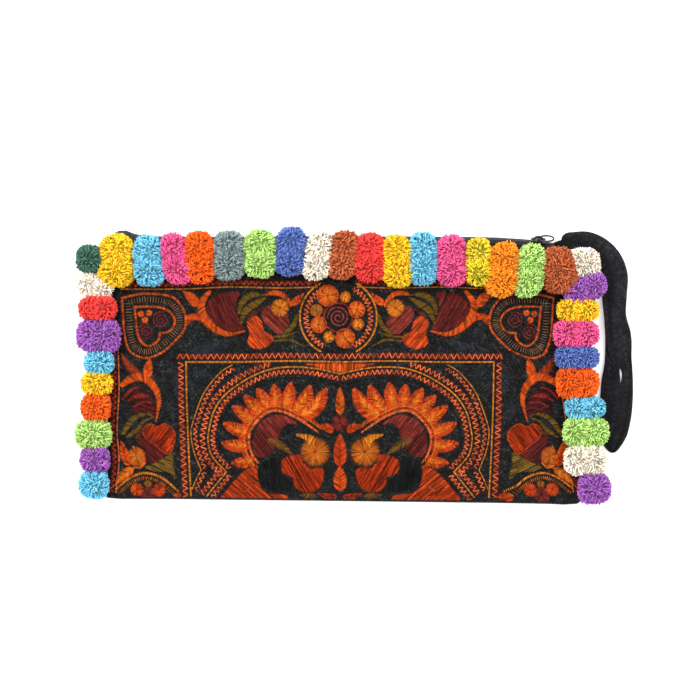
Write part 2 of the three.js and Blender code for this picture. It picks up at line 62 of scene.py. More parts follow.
# Lamps: name, place, size, power in watts
LAMPS = [
    ("key_lamp", (-520, 620, 1250), 700, 17),
    ("fill_lamp", (700, -200, 1300), 1000, 9),
]

# Cloth of the pouch
SIDE = 149.8
CLOTH = 1.6
SEAM_WIDTH = 4
SEAM_BULGE = 0.9
INNER_BULGE = SEAM_BULGE / 4
SEAM_TURNS = (-60, 0, 60)
FOLD_BULGE = 0.7
LIP = 0.5
COLUMNS = 170
ROWS = 100
INNER_ROWS = 14
INNER_FOLD = 0.035
FRONT_FLOOR = 3.9
BACK_LIFT = 0.4
OUTSIDE = 100
HALVINGS = 20
EDGE_INSET = 0.004
SMOOTHING = 26
PUCKER = {"depth": 0.4, "pitch": 8.3, "drift": 13, "reach": 11, "middle": 1.6}
CALM_ROWS = 0.06
CALM_SIDE = 12
# Soft creases of the front: centre, length, breadth, turn in degrees, depth
CREASES = [
    (-104, 34, 40, 7, 62, 0.5),
    (-88, 12, 34, 6, 75, 0.35),
    (-40, 46, 44, 7, 12, 0.5),
    (30, 46, 38, 6, -14, 0.45),
    (76, 40, 40, 7, -38, 0.5),
    (112, 16, 42, 7, -70, 0.5),
    (96, -30, 36, 7, 58, 0.4),
    (-112, -34, 40, 7, -64, 0.45),
    (-20, -12, 46, 8, 30, 0.3),
    (44, -40, 40, 8, -24, 0.3),
]
# Faint waves all over the front: wavelength, heading in degrees, height
WAVES = [(23, 20, 0.14), (17, 107, 0.11), (11, 64, 0.07), (9, 151, 0.06), (6, 35, 0.03)]
WELD = 0.002

# Thread colours as seen on a screen
THREADS = {
    "orange": (204, 84, 24),
    "flame": (192, 69, 21),
    "rust": (166, 50, 10),
    "gold": (214, 126, 34),
    "amber": (174, 90, 22),
    "maroon": (104, 33, 28),
    "wine": (70, 22, 22),
    "plum": (138, 52, 42),
    "olive": (112, 84, 30),
    "tan": (226, 112, 56),
    "sand": (138, 98, 60),
    "red": (146, 44, 32),
    "crimson": (164, 62, 60),
    "claret": (118, 42, 44),
    "brown": (84, 44, 28),
    # Dark grey of the black-on-black leaves: lighter than the ground, partly as their own tone and partly as
    # painted sheen
    "slate": (40, 43, 47),
    "black": (23, 24, 25),
}
THREAD_PITCH = 0.8
THREAD_WIDTH = 0.86
THREAD_STAND = 0.36
THREAD_ROOT = 0.08
# Random brightness of each stitch: partly the thread's own uneven tone and partly painted sheen
THREAD_FLICKER = 0.34
FLICKER_RANGE = (0.4, 1.7)
# Painted shade at both ends of a stitch, where it dips into the cloth
END_SHADE = 0.6
ROW_FLICKER = 0.28
ROW_DARKEST = 0.4
LONG_STITCH = 6
STITCH_LAP = 0.8
STITCH_JITTER = 2.4
SHORT_STITCH = 3
# Where short and long stitches bend, as shares of their length
SHORT_CUTS = (0, 0.5, 1)
LONG_CUTS = (0, 0.22, 0.78, 1)
LINE_SLANT = 0.5
ZIGZAG_WIDTH = 0.78
ZIGZAG_OVER = 1.5
RAISED = 1.8
FAN_EYE = 0.3
FAN_DENSITY = 1.5 * math.pi
FEWEST_SPOKES = 6
SPIRAL_EYE = 0.12
SPIRAL_DETAIL = 10
LEAF = {"slant": 0.16, "inset": 0.02, "lean": 0.85, "fullness": 0.75}
PETAL = {"slant": 0.12, "end": 0.97, "bluntness": 5, "roundness": 0.55, "base": 0.74}
# Veins of the feathers: where they start and end, their share of the feather's width and bend
VEIN = {"start": 0.12, "end": 0.8, "width": 0.55, "bend": 0.7}
# The back has half as many stitches, each of them this much broader
BACK_BROADER = 1.9
# Columns of a stitch: its two ends, the colours there, how far it stands out and its width
START, END, FIRST, LAST = slice(0, 2), slice(2, 4), slice(4, 7), slice(7, 10)
STAND, WIDTH = 10, 11
PATH_DETAIL = 12
CHART_UNIT = 0.61
CHART_AXIS = -1.2
FOLD_MARGIN = 0.6
# On the right the cloth was pulled askew: the upper band lies further in and the outer strip leans out
# towards the fold, in chart units
ASKEW_BAND = {"from": 18.5, "shift": -4.5}
ASKEW_STRIP = {"from": 160, "over": 8, "slope": -0.087, "level": -12.5}

# Yarn colours as seen on a screen
YARN_COLOURS = {
    "sky": (120, 203, 233),
    "purple": (166, 98, 186),
    "lime": (186, 226, 124),
    "orange": (255, 104, 22),
    "pale_orange": (255, 150, 30),
    "yellow": (255, 204, 36),
    "red": (250, 70, 64),
    "ivory": (250, 240, 220),
    "dark_green": (70, 112, 94),
    "pink": (243, 93, 150),
    "grey": (138, 156, 156),
    "royal": (96, 121, 192),
    "brown": (196, 100, 56),
    "mustard": (228, 206, 48),
}
# Pompoms whose dye differs from that of their slot
DYED = {"pompom_25": "pale_orange"}
YARN_AREA = 1.05
YARN_RADIUS = 0.42
YARN_THICKNESS = (0.82, 1.2)
YARN_FLICKER = 0.3
YARN_RANGE = (0.5, 1.5)
STRAND_REACH = 3.2
STRAND_SHARE = 0.8
STRAND_LEAN = 1.4
STRAND_COMB = (0, 3.6)
STRAND_DEPTH = (0, 1.5)
# Painted shade at the root of each yarn end, deep among the others, and a painted highlight at its tip
STRAND_ROOT_PAINTED_SHADE = 0.55
STRAND_TIP_PAINTED_LIGHT = 1.36
# Rings of a yarn end: place along it, share of its radius, and brightness, painted darker near the root as shade
# and lighter towards the tip as a highlight
STRAND_RINGS = ((0.45, 1, 0.84), (0.93, 0.85, 1.32))
# Faces of a yarn end: from its root to the first ring, between the rings, and to its tip
STRAND_FACES = [
    *[(0, 2, 1), (0, 3, 2), (0, 1, 3)],
    *[(1, 2, 5), (1, 5, 4), (2, 3, 6), (2, 6, 5), (3, 1, 4), (3, 4, 6)],
    *[(4, 5, 7), (5, 6, 7), (6, 4, 7)],
]
WHORL = 4
TWO_HEADS_FROM = 1.3
HEAD_SPREAD = 0.45
HEAD_JITTER = 0.08
HEAD_DROP = 0.6
CORE_DETAIL = 2
CORE_SHARE = (0.8, 0.78, 0.6)
# Painted shade of the core, which shows deep between the yarn ends
CORE_SHADE = 0.75
CORE_LUMPS = 0.05
CORE_RIPPLE = (7, 9, 8)
TUFT_SQUARE = 2.9
TUFT_PRESS = (-0.4, 1.3, 0)
TUFT_SWELL = 0.05
TUFT_FLOOR = -0.6
TUFT_TRIM = (0.95, 1.06)
TUFT_DETAIL = 400
WAIST = (0.04, 0.13)
WAIST_REACH = 0.2
FIRST_TURN = 6
STEEP = 0.9
GOLDEN_TURN = math.pi * (3 - math.sqrt(5))
# Tufts pushed by their neighbours: shift in the frame, growth of their half sizes, lean across from
# their outer to their inner end
NUDGES = {
    "pompom_08": ((-0.8, 0, 0), (0, 0, 0), 0),
    "pompom_09": ((2.4, 0, -2), (2.6, 0.4, -1), 0),
    "pompom_10": ((0.8, 0, 0), (0, 0.4, 0), 0),
    "pompom_11": ((0, 0, 0), (0, 0.6, 0), 0),
    "pompom_12": ((0.9, 0, 0), (0, 0, 0), 0.05),
    "pompom_13": ((1.2, 0, 0), (0, 0.6, 0), 0.14),
    "pompom_14": ((0, 0, 0), (0, 0.6, 0), 0.03),
    "pompom_17": ((0.3, 0, 0), (0, 0, 0), -0.06),
    "pompom_18": ((0.6, 0, 0), (0, 0.4, 0), -0.14),
    "pompom_19": ((0, 0, 0), (0, 0.7, 0), -0.1),
    "pompom_20": ((0, 0, 0), (0, 0.5, 0), 0),
    "pompom_21": ((0.2, 0, 0), (0, 1.2, 0), 0.04),
    "pompom_24": ((0, 0, 0), (0, 0.4, 0), 0),
    "pompom_25": ((-0.6, 0, 0), (0, 0.8, 0), -0.1),
    "pompom_26": ((-0.9, 0, 0), (0, 0.2, 0), -0.12),
    "pompom_27": ((0, -1.2, 0), (0.8, 1.8, 0), 0.06),
    "pompom_28": ((-2.2, -1.6, -1), (0.6, 0.7, 0), 0),
    "pompom_29": ((-2, -0.4, 0), (2, 1.7, 0), 0.06),
}
STILL = ((0, 0, 0), (0, 0, 0), 0)
TRIM_MIDDLE = (0, -40, 0)

# Zip
COIL_PITCH = 1.3
COIL_INSET = 1
COIL_RADIUS = 0.4
COIL_AROUND = 6
COIL_SIZES = (0.5, 1, 1, 1, 0.5)
COIL_OUTER = 1.95
COIL_INNER = -0.55
COIL_ARCH = 0.75
COIL_SPAN = (0.15, 0.85)
# Outline of the bed under the coil: place across, height
COIL_BED = [(-1.9, -0.7), (1.9, -0.7), (1.9, 0.1), (0.3, 0.25), (-0.3, 0.25), (-1.9, 0.1)]
BED_STEPS = 200
STATION_REACH = 0.02
STATION_POINTS = 8
TAPE_CUTS = 5
TAPE_WELD = 0.005
TAPE_RIB = {"pitch": 2.2, "depth": 0.05}
SLIDER_BEVEL = {"width": 0.18, "segments": 2, "angle": 40}
RING_WIRE = 0.55
RING_STEPS = 64
RING_AROUND = 12

# Wrist loop: its upper leg from the neck down, its tip, and the leg beneath back up. A row is the
# centre of the band and its width, and in the tip the height of its underside and its roll in degrees
UPPER_LEG = [(129.4, 76.4, 3.6), (134, 76.9, 4.2), (136, 77.9, 8.8), (141.8, 78.8, 10.6),
             (147.8, 78.1, 12.8), (155.2, 74.8, 14.2), (162.4, 67.4, 15.4), (166.4, 58.4, 14.8),
             (165.8, 46, 15.2), (166.3, 32, 13.6), (168.2, 21.4, 15.4)]
TIP = [(169.8, 10, 13.4, 2.7, 4), (173.2, 0.6, 7.2, 2.9, 14), (172.2, -17, 10.2, 2.3, 25),
       (170.8, -30, 10.4, 2.1, 25), (168.4, -41, 8.6, 1.4, 14), (164.9, -48.4, 4.6, 0.7, 0)]
LOWER_LEG = [(161.4, -41.5, 8.4), (161.8, -30, 11.4), (163.2, -16, 11.6), (163.9, -6.4, 11.6),
             (164.4, 0.6, 9.8), (165.8, 10, 11), (166.6, 21.4, 12.6), (166.2, 32, 12.8), (166.7, 46, 13.4),
             (166.6, 58.6, 13.4), (162.9, 67.7, 13.2), (155.3, 74.7, 13.2), (147.7, 77.9, 12.4),
             (141.8, 78.5, 9.2), (136.6, 77.5, 5.6), (131.4, 76.9, 3.4)]
UPPER_LIFT = 2.7
LOWER_LIFT = 0.2
STRAP_THICKNESS = 2.2
STRAP_SQUARE = (0.55, 0.6)
STRAP_COLOUR = (28, 27, 32)
# The band is darker towards its tip: places up, and brightness there
STRAP_FADE = ((0, 45), (0.66, 1))
# Painted shade in the band's creases, gathers and wrinkles: brightness where it lies flat, change for each
# millimetre of depth, and the darkest it gets
STRAP_SHADE = {"flat": 1.5, "by_depth": -1.7, "darkest": 0.3}
STRAP_STEPS = 260
STRAP_AROUND = 30
# Lengthwise creases of the band: place across it from -1 to 1, breadth, depth
STRAP_CREASES = [(-0.5, 0.2, 0.8), (0.08, 0.16, 0.6), (0.56, 0.18, 0.8)]
STRAP_DEEPEST = 0.8
CREASE_WANDER = {"reach": 0.16, "run": 23, "phase": 2}
CREASE_STRENGTH = {"mean": 0.55, "range": 0.45, "run": 31, "phase": 1.7}
NECK = {"reach": 9, "depth": 0.35, "gathers": 16}
WRINKLE = {"depth": 0.12, "run": 3.1, "drift": 0.8, "drift_run": 11}
BEND = {"at": 36, "reach": 15, "depth": 0.45, "ripple": 1.3, "slant": 2.4}


def linear(colour):
    """A screen colour from 0 to 255 as linear light."""
    share = np.array(colour) / 255
    return np.where(share <= 0.04045, share / 12.92, ((share + 0.055) / 1.055) ** 2.4)


def between(low, high, share):
    return low + (high - low) * share


def unit(vectors):
    return vectors / np.linalg.norm(vectors, axis=-1, keepdims=True)


def left_of(along):
    return np.column_stack([-along[:, 1], along[:, 0]])


def circle(turns):
    return np.column_stack([np.cos(turns), np.sin(turns)])


def even_turns(count):
    return np.linspace(0, math.tau, count, endpoint=False)


def lengths_along(path):
    """How far along a path each of its points lies."""
    return np.append(0, np.cumsum(np.linalg.norm(np.diff(path, axis=0), axis=1)))


def show(name, mesh, look):
    """A smooth object of a mesh with one of the looks."""
    mesh.shade_smooth()
    mesh.materials.clear()
    mesh.materials.append(LOOKS[look])
    made = bpy.data.objects.new(name, mesh)
    bpy.context.scene.collection.objects.link(made)
    return made


def new_object(name, look, points, faces, tints=None):
    """An object from points in millimetres, with a colour for each point if given."""
    mesh = bpy.data.meshes.new(name)
    mesh.from_pydata((np.asarray(points) * MM).tolist(), [], list(map(tuple, faces)))
    if tints is not None:
        colours = mesh.color_attributes.new("tint", "FLOAT_COLOR", "POINT")
        rgba = np.column_stack([tints, np.ones(len(tints))])
        colours.data.foreach_set("color", rgba.astype(np.float32).ravel())
    return show(name, mesh, look)


def dress(piece, slot, *nodes, body="bag"):
    """Gives a piece its body and hides the nodes that it stands for; the slot is not used."""
    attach(piece, body)
    if nodes:
        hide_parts(*nodes)


def weld(piece):
    """Joins points that lie on each other and turns the faces outwards."""
    bm = bmesh.new()
    bm.from_mesh(piece.data)
    bmesh.ops.remove_doubles(bm, verts=bm.verts, dist=WELD * MM)
    bmesh.ops.recalc_face_normals(bm, faces=bm.faces)
    bm.to_mesh(piece.data)
    bm.free()
    return piece


def tube_faces(rings, around):
    """Quads round consecutive rings of points."""
    ring = np.arange(rings - 1)[:, None] * around
    here = np.arange(around)
    after = (here + 1) % around
    faces = np.stack([ring + here, ring + after, ring + around + after, ring + around + here], -1)
    return faces.reshape(-1, 4)


def capped_tubes(tubes, around):
    """Points and faces of tubes with flat ends, each given as its rings of points."""
    points, faces, start = [], [], 0
    for rings in tubes:
        end = start + around * (len(rings) - 1)
        faces += (tube_faces(len(rings), around) + start).tolist()
        faces.append(range(start + around - 1, start - 1, -1))
        faces.append(range(end, end + around))
        points += rings
        start = end + around
    return np.vstack(points), faces


def in_rows(columns):
    """Points, or colours, that were listed place by place, with those of each shape together."""
    return np.stack(columns, 1).reshape(-1, 3)


def repeated(faces, count, size):
    """Faces of one shape of so many points, for many such shapes."""
    return (np.arange(count)[:, None, None] * size + np.array(faces)).reshape(-1, 3)


def joined(*shapes):
    """Points, faces and colours of several shapes as one."""
    points, faces, tints = zip(*shapes)
    starts = np.cumsum([0, *map(len, points[:-1])])
    faces = [part + start for part, start in zip(faces, starts)]
    return np.vstack(points), np.vstack(faces), np.vstack(tints)


def corners_of(node):
    """The points of a node in millimetres."""
    return np.array([vertex.co for vertex in frame["nodes"][node].data.vertices]) / MM


def drawn_in(places, up):
    """Places as charted from the camera: what lies higher is drawn in towards the view's middle."""
    nearer = 1 - np.asarray(up) / CAMERA_HEIGHT
    return VIEW_CENTRE + (places - VIEW_CENTRE) * nearer[..., None]


class Look:
    """A procedural material, with its textures placed in the piece's own metres."""

    # Radians that a wave texture runs through for each unit of its scale
    WAVE = 20

    def __init__(self, name, **sockets):
        self.material = bpy.data.materials.new(name)
        self.material.use_nodes = True
        self.tree = self.material.node_tree
        self.surface = self.tree.nodes["Principled BSDF"]
        self.place = self.node("ShaderNodeTexCoord").outputs["Object"]
        for socket, value in sockets.items():
            self.put(self.surface, socket.replace("_", " "), value)

    def put(self, node, socket, value):
        if isinstance(value, bpy.types.NodeSocket):
            self.tree.links.new(value, node.inputs[socket])
        else:
            node.inputs[socket].default_value = value

    def node(self, kind, inputs=None, **settings):
        made = self.tree.nodes.new(kind)
        for setting, value in settings.items():
            setattr(made, setting, value)
        for socket, value in (inputs or {}).items():
            self.put(made, socket, value)
        return made

    def noise(self, size, detail=2, roughness=0.5):
        """Noise whose patches are about size millimetres."""
        inputs = {"Vector": self.place, "Scale": 1 / (size * MM), "Detail": detail, "Roughness": roughness}
        return self.node("ShaderNodeTexNoise", inputs).outputs["Fac"]

    def ribs(self, pitch, axis, distortion=0.6):
        """Parallel ribs pitch millimetres apart."""
        scale = math.tau / (self.WAVE * pitch * MM)
        inputs = {"Vector": self.place, "Scale": scale, "Distortion": distortion}
        made = self.node("ShaderNodeTexWave", inputs, wave_type="BANDS", bands_direction=axis)
        return made.outputs["Fac"]

    def ramp(self, value, *stops):
        """Screen colours, or greys of light, laid along a value: (place, shade) pairs."""
        made = self.node("ShaderNodeValToRGB", {"Fac": value})
        marks = made.color_ramp.elements
        while len(marks) < len(stops):
            marks.new(0.5)
        for mark, (place, shade) in zip(marks, stops):
            mark.position = place
            light = linear(shade) if isinstance(shade, tuple) else (shade, shade, shade)
            mark.color = (*light, 1)
        return made.outputs["Color"]

    def grain(self, size, detail, *stops, roughness=0.5):
        """Shades laid along noise."""
        return self.ramp(self.noise(size, detail, roughness), *stops)

    def multiply(self, first, second):
        """One colour times another: a mix node has its colours in sockets 6 and 7 and output 2."""
        inputs = {0: 1.0, 6: first, 7: second}
        return self.node("ShaderNodeMix", inputs, data_type="RGBA", blend_type="MULTIPLY").outputs[2]

    def add(self, first, second):
        return self.node("ShaderNodeMath", {0: first, 1: second}, operation="ADD").outputs[0]

    def tint(self):
        """The colours that the mesh itself carries."""
        return self.node("ShaderNodeVertexColor", layer_name="tint").outputs["Color"]

    def bump(self, height, depth, before=None):
        """Relief depth millimetres deep, on top of an earlier relief if one is given."""
        inputs = {"Height": height, "Distance": depth * MM}
        if before is not None:
            inputs["Normal"] = before
        return self.node("ShaderNodeBump", inputs).outputs["Normal"]

    def finish(self, colour, rough, normal=None, detail=2):
        """The material with its colour, its relief, and the size, low and high of its roughness."""
        size, low, high = rough
        self.put(self.surface, "Base Color", colour)
        self.put(self.surface, "Roughness", self.grain(size, detail, (0.3, low), (0.7, high)))
        if normal is not None:
            self.put(self.surface, "Normal", normal)
        return self.material


def ground_cloth():
    look = Look("ground_cloth", Specular_IOR_Level=0.12)
    lines = look.ribs(1.5, "DIAGONAL", 14)
    weave = look.add(look.ribs(0.55, "X"), look.ribs(0.55, "Y"))
    blacks = (0.3, (12, 12, 12)), (0.55, (24, 25, 25)), (0.75, (46, 47, 47))
    patches = look.grain(5, 4, *blacks, roughness=0.6)
    # Swirling lines of the ground's tone-on-tone embroidery, their lighter bands painted sheen of its black thread
    colour = look.multiply(patches, look.ramp(lines, (0.15, 0.55), (0.6, 0.85), (0.9, 1.5)))
    specks = look.grain(1.4, 3, (0.36, 0.2), (0.5, 0.7), (0.64, 2.6), roughness=0.7)
    normal = look.bump(weave, 0.08, before=look.bump(lines, 0.3))
    return look.finish(look.multiply(colour, specks), (1.6, 0.5, 0.75), normal)


def thread_look():
    look = Look("embroidery_thread", Specular_IOR_Level=0.08)
    colour = look.multiply(look.tint(), look.grain(0.9, 3, (0.3, 0.6), (0.7, 1.1)))
    return look.finish(colour, (1.2, 0.42, 0.62), look.bump(look.noise(0.35), 0.06))


def yarn_look():
    look = Look("pompom_yarn", Sheen_Weight=0.05, Sheen_Roughness=0.6, Specular_IOR_Level=0.1)
    colour = look.multiply(look.tint(), look.grain(0.7, 3, (0.25, 0.86), (0.7, 1.0)))
    return look.finish(colour, (0.8, 0.8, 0.98), look.bump(look.noise(0.3, 3), 0.1))


def strap_look():
    look = Look("strap_cotton", Sheen_Weight=0.12, Sheen_Roughness=0.5, Specular_IOR_Level=0.2)
    lint = look.grain(1.9, 4, (0.36, 0.25), (0.5, 0.75), (0.64, 1.9), roughness=0.7)
    weave = look.add(look.ribs(0.4, "X", 1.0), look.ribs(0.4, "Y", 1.0))
    normal = look.bump(weave, 0.05, before=look.bump(look.noise(3, 4), 0.5))
    return look.finish(look.multiply(look.tint(), lint), (2, 0.82, 0.95), normal)


def tape_look():
    look = Look("zip_tape", Sheen_Weight=0.1, Sheen_Roughness=0.5, Specular_IOR_Level=0.3)
    colour = look.grain(1.2, 3, (0.3, (24, 24, 27)), (0.7, (40, 40, 44)))
    return look.finish(colour, (1, 0.65, 0.85), look.bump(look.ribs(0.7, "DIAGONAL", 0.4), 0.08))


def coil_look():
    look = Look("zip_coil", Specular_IOR_Level=0.5)
    colour = look.grain(2, 2, (0.3, (22, 22, 25)), (0.7, (44, 44, 48)))
    return look.finish(colour, (0.6, 0.3, 0.5), look.bump(look.noise(0.4), 0.03))


def metal_look():
    look = Look("zip_metal", Metallic=1.0)
    colour = look.grain(1.5, 4, (0.3, (44, 44, 46)), (0.6, (84, 83, 84)), (0.8, (150, 149, 148)))
    return look.finish(colour, (0.8, 0.25, 0.5), look.bump(look.noise(0.5, 3), 0.03), detail=3)


def floor_look():
    look = Look("floor", Specular_IOR_Level=0.1, Emission_Color=(1, 1, 1, 1), Emission_Strength=FLOOR_GLOW)
    return look.finish(look.grain(60, 2, (0.3, 0.93), (0.7, 0.95)), (40, 0.85, 0.95))


LOOKS = {
    "ground": ground_cloth(),
    "thread": thread_look(),
    "yarn": yarn_look(),
    "strap": strap_look(),
    "tape": tape_look(),
    "coil": coil_look(),
    "metal": metal_look(),
    "floor": floor_look(),
}
DYES = {name: linear(colour) for name, colour in THREADS.items()}


def make_stage():
    """The camera straight above, soft lamps, a white sky and a pale floor."""
    scene = bpy.context.scene
    camera = bpy.data.objects.new("camera", bpy.data.cameras.new("camera"))
    camera.data.sensor_width = SENSOR
    camera.data.lens = SENSOR * CAMERA_HEIGHT / VIEW_WIDTH
    camera.location = Vector((*VIEW_CENTRE, CAMERA_HEIGHT)) * MM
    scene.collection.objects.link(camera)
    scene.camera = camera
    for name, place, size, power in LAMPS:
        lamp = bpy.data.lights.new(name, "AREA")
        lamp.size = size * MM
        lamp.energy = power
        holder = bpy.data.objects.new(name, lamp)
        holder.location = Vector(place) * MM
        holder.rotation_euler = Vector(place).to_track_quat("Z", "Y").to_euler()
        scene.collection.objects.link(holder)
    sky = bpy.data.worlds.new("sky")
    sky.use_nodes = True
    light = sky.node_tree.nodes["Background"].inputs
    light["Color"].default_value = (1, 1, 1, 1)
    light["Strength"].default_value = SKY_STRENGTH
    scene.world = sky
    scene.view_settings.view_transform = "Standard"
    reach = FLOOR_SIZE / 2
    square = [(-reach, -reach), (reach, -reach), (reach, reach), (-reach, reach)]
    corners = [(x, y, -FLOOR_DROP) for x, y in square]
    new_object("floor", "floor", corners, [(0, 1, 2, 3)])


make_stage()

# The pouch's outline and heights, read from its node
pouch_mesh = frame["nodes"]["pouch"].data
pouch_tree = BVHTree.FromPolygons(
    [vertex.co / MM for vertex in pouch_mesh.vertices],
    [tuple(face.vertices) for face in pouch_mesh.polygons],
)


def height(x, y, way):
    """Where a ray from outside, up or down, meets the pouch, or not a number where it misses."""
    hit = pouch_tree.ray_cast(Vector((x, y, -way * OUTSIDE)), Vector((0, 0, way)))[0]
    return np.nan if hit is None else hit.z


def edge(x, outside, floor=-math.inf):
    """Where a column of cloth above a floor ends, between its middle and a place outside it."""
    inside = 0.0
    for _ in range(HALVINGS):
        middle = (inside + outside) / 2
        if height(x, middle, -1) > floor:
            inside = middle
        else:
            outside = middle
    return inside


def filled(column):
    """A column of heights with its missed places taken from their neighbours."""
    places = np.arange(len(column))
    known = ~np.isnan(column)
    return np.interp(places, places[known], column[known])


def smoothed(grid):
    for _ in range(SMOOTHING):
        grid[1:-1] = grid[1:-1] / 2 + (grid[:-2] + grid[2:]) / 4
        grid[:, 1:-1] = grid[:, 1:-1] / 2 + (grid[:, :-2] + grid[:, 2:]) / 4
    return grid


# Columns and rows lie closer towards the edges of the cloth
even_columns = np.linspace(-1, 1, COLUMNS)
even_rows = np.linspace(0, 1, ROWS)
COLUMN_X = SIDE * (even_columns + np.sin(math.pi / 2 * even_columns)) / 2
ROW_UP = (even_rows + (1 - np.cos(math.pi * even_rows)) / 2) / 2
BOTTOM = np.array([edge(x, -OUTSIDE) for x in COLUMN_X])
BACK_TOP = np.array([edge(x, OUTSIDE) for x in COLUMN_X])
FRONT_TOP = np.array([edge(x, OUTSIDE, FRONT_FLOOR) for x in COLUMN_X])


def heights(top, way):
    """Heights of one face of the pouch over rows of equal share from the fold to its top."""
    grid = np.empty((ROWS, COLUMNS))
    for row, up in enumerate(np.clip(ROW_UP, EDGE_INSET, 1 - EDGE_INSET)):
        ys = between(BOTTOM, top, up)
        grid[row] = [height(x, y, way) for x, y in zip(COLUMN_X, ys)]
    return smoothed(np.apply_along_axis(filled, 0, grid))


def creased(x, y, up):
    """Relief of the front: creases, faint waves, and puckers where the trim is sewn on."""
    relief = np.zeros_like(x)
    for middle_x, middle_y, length, breadth, turn, depth in CREASES:
        turn = math.radians(turn)
        along = (x - middle_x) * math.cos(turn) + (y - middle_y) * math.sin(turn)
        across = (y - middle_y) * math.cos(turn) - (x - middle_x) * math.sin(turn)
        relief -= depth * np.exp(-((2 * along / length) ** 2) - (2 * across / breadth) ** 2)
    for i, (wave, heading, rise) in enumerate(WAVES):
        heading = math.radians(heading)
        along = x * math.cos(heading) + y * math.sin(heading)
        relief += rise * np.sin(math.tau * along / wave + i)
    from_top = (1 - up) * (FRONT_TOP - BOTTOM).max()
    pucker = np.sin(math.tau * x / PUCKER["pitch"] + np.sin(x / PUCKER["drift"]))
    relief += PUCKER["depth"] * pucker * np.exp(-((from_top / PUCKER["reach"] - PUCKER["middle"]) ** 2))
    calm = np.clip(np.minimum(up, 1 - up) / CALM_ROWS, 0, 1)
    return relief * (calm * np.clip((SIDE - np.abs(x)) / CALM_SIDE, 0, 1))


wide_x = np.broadcast_to(COLUMN_X, (ROWS, COLUMNS))
wide_up = np.broadcast_to(ROW_UP[:, None], (ROWS, COLUMNS))
RELIEF = creased(wide_x, between(BOTTOM, FRONT_TOP, wide_up), wide_up)
FRONT_Z = heights(FRONT_TOP, -1) + RELIEF
BACK_Z = heights(BACK_TOP, 1) + BACK_LIFT


def grid_height(grid, top, x, y):
    """Height of one face at any places, between the points of its grid."""
    low = np.interp(x, COLUMN_X, BOTTOM)
    high = np.interp(x, COLUMN_X, top)
    up = np.clip((y - low) / (high - low), 0, 1)
    column = np.interp(x, COLUMN_X, np.arange(COLUMNS))
    row = np.interp(up, ROW_UP, np.arange(ROWS))
    c = np.minimum(column.astype(int), COLUMNS - 2)
    r = np.minimum(row.astype(int), ROWS - 2)
    lower = between(grid[r, c], grid[r, c + 1], column - c)
    upper = between(grid[r + 1, c], grid[r + 1, c + 1], column - c)
    return between(lower, upper, row - r)


def front_at(x, y):
    return grid_height(FRONT_Z, FRONT_TOP, x, y)


def back_at(x, y):
    return grid_height(BACK_Z, BACK_TOP, x, y)


def seam(back, front, bulge):
    """Points round a side seam from the back's last point to the front's."""
    middle, half = (back + front) / 2, (front - back) / 2
    outward = np.array([np.sign(middle[0]) * bulge, 0, 0])
    turns = np.radians(SEAM_TURNS)
    return [middle + half * math.sin(turn) + outward * math.cos(turn) for turn in turns]


def pouch_ring(up, inset=0, wall=0, bulge=SEAM_BULGE):
    """One ring of the pouch's skin: the back, the right seam, the front and the left seam."""
    x = COLUMN_X * (SIDE - inset) / SIDE
    low = np.interp(x, COLUMN_X, BOTTOM)
    back_y = between(low, np.interp(x, COLUMN_X, BACK_TOP), up)
    front_y = between(low, np.interp(x, COLUMN_X, FRONT_TOP), up)
    back = np.column_stack([x, back_y, back_at(x, back_y) + wall])
    front = np.column_stack([x, front_y, front_at(x, front_y) - wall])
    right = seam(back[-1], front[-1], bulge)
    left = seam(back[0], front[0], bulge)[::-1]
    return np.vstack([back, right, front[::-1], left])


def shut(ring):
    """A ring closed flat at the fold, a little below another."""
    turns = len(SEAM_TURNS)
    front = ring[COLUMNS + turns:2 * COLUMNS + turns][::-1]
    middle = (ring[:COLUMNS] + front) / 2 - (0, FOLD_BULGE, 0)
    return np.vstack([middle, *[middle[-1]] * turns, middle[::-1], *[middle[0]] * turns])


def make_pouch():
    outer = [pouch_ring(up) for up in ROW_UP]
    inner_rows = np.linspace(1, INNER_FOLD, INNER_ROWS)
    inner = [pouch_ring(up, SEAM_WIDTH, CLOTH, INNER_BULGE) for up in inner_rows]
    lip = (outer[-1] + inner[0]) / 2 + (0, LIP, 0)
    rings = [shut(outer[0]), *outer, lip, *inner, shut(inner[-1])]
    faces = tube_faces(len(rings), len(lip))
    pouch = weld(new_object("pouch_cloth", "ground", np.vstack(rings), faces))
    dress(pouch, "embroidered_cloth", "pouch")


make_pouch()


def smooth_path(points, step, closed=False):
    """Evenly spaced points on a smooth curve through charted points."""
    points = np.asarray(points, float) * CHART_UNIT
    if closed:
        points = np.vstack([points[-1], points, points[0], points[1]])
    else:
        points = np.vstack([2 * points[0] - points[1], points, 2 * points[-1] - points[-2]])
    t = np.linspace(0, 1, PATH_DETAIL, endpoint=False)[:, None]
    runs = []
    for a, b, c, d in zip(points, points[1:], points[2:], points[3:]):
        bend = (2 * a - 5 * b + 4 * c - d) * t**2 + (3 * (b - c) + d - a) * t**3
        runs.append(b + ((c - a) * t + bend) / 2)
    dense = np.vstack([*runs, points[-2]])
    gone = lengths_along(dense)
    places = np.linspace(0, gone[-1], max(2, round(gone[-1] / step)) + 1)
    return np.column_stack([np.interp(places, gone, axis) for axis in dense.T])


def ways(path):
    """Directions along a path and to the left of it."""
    along = unit(np.gradient(path, axis=0))
    return along, left_of(along)


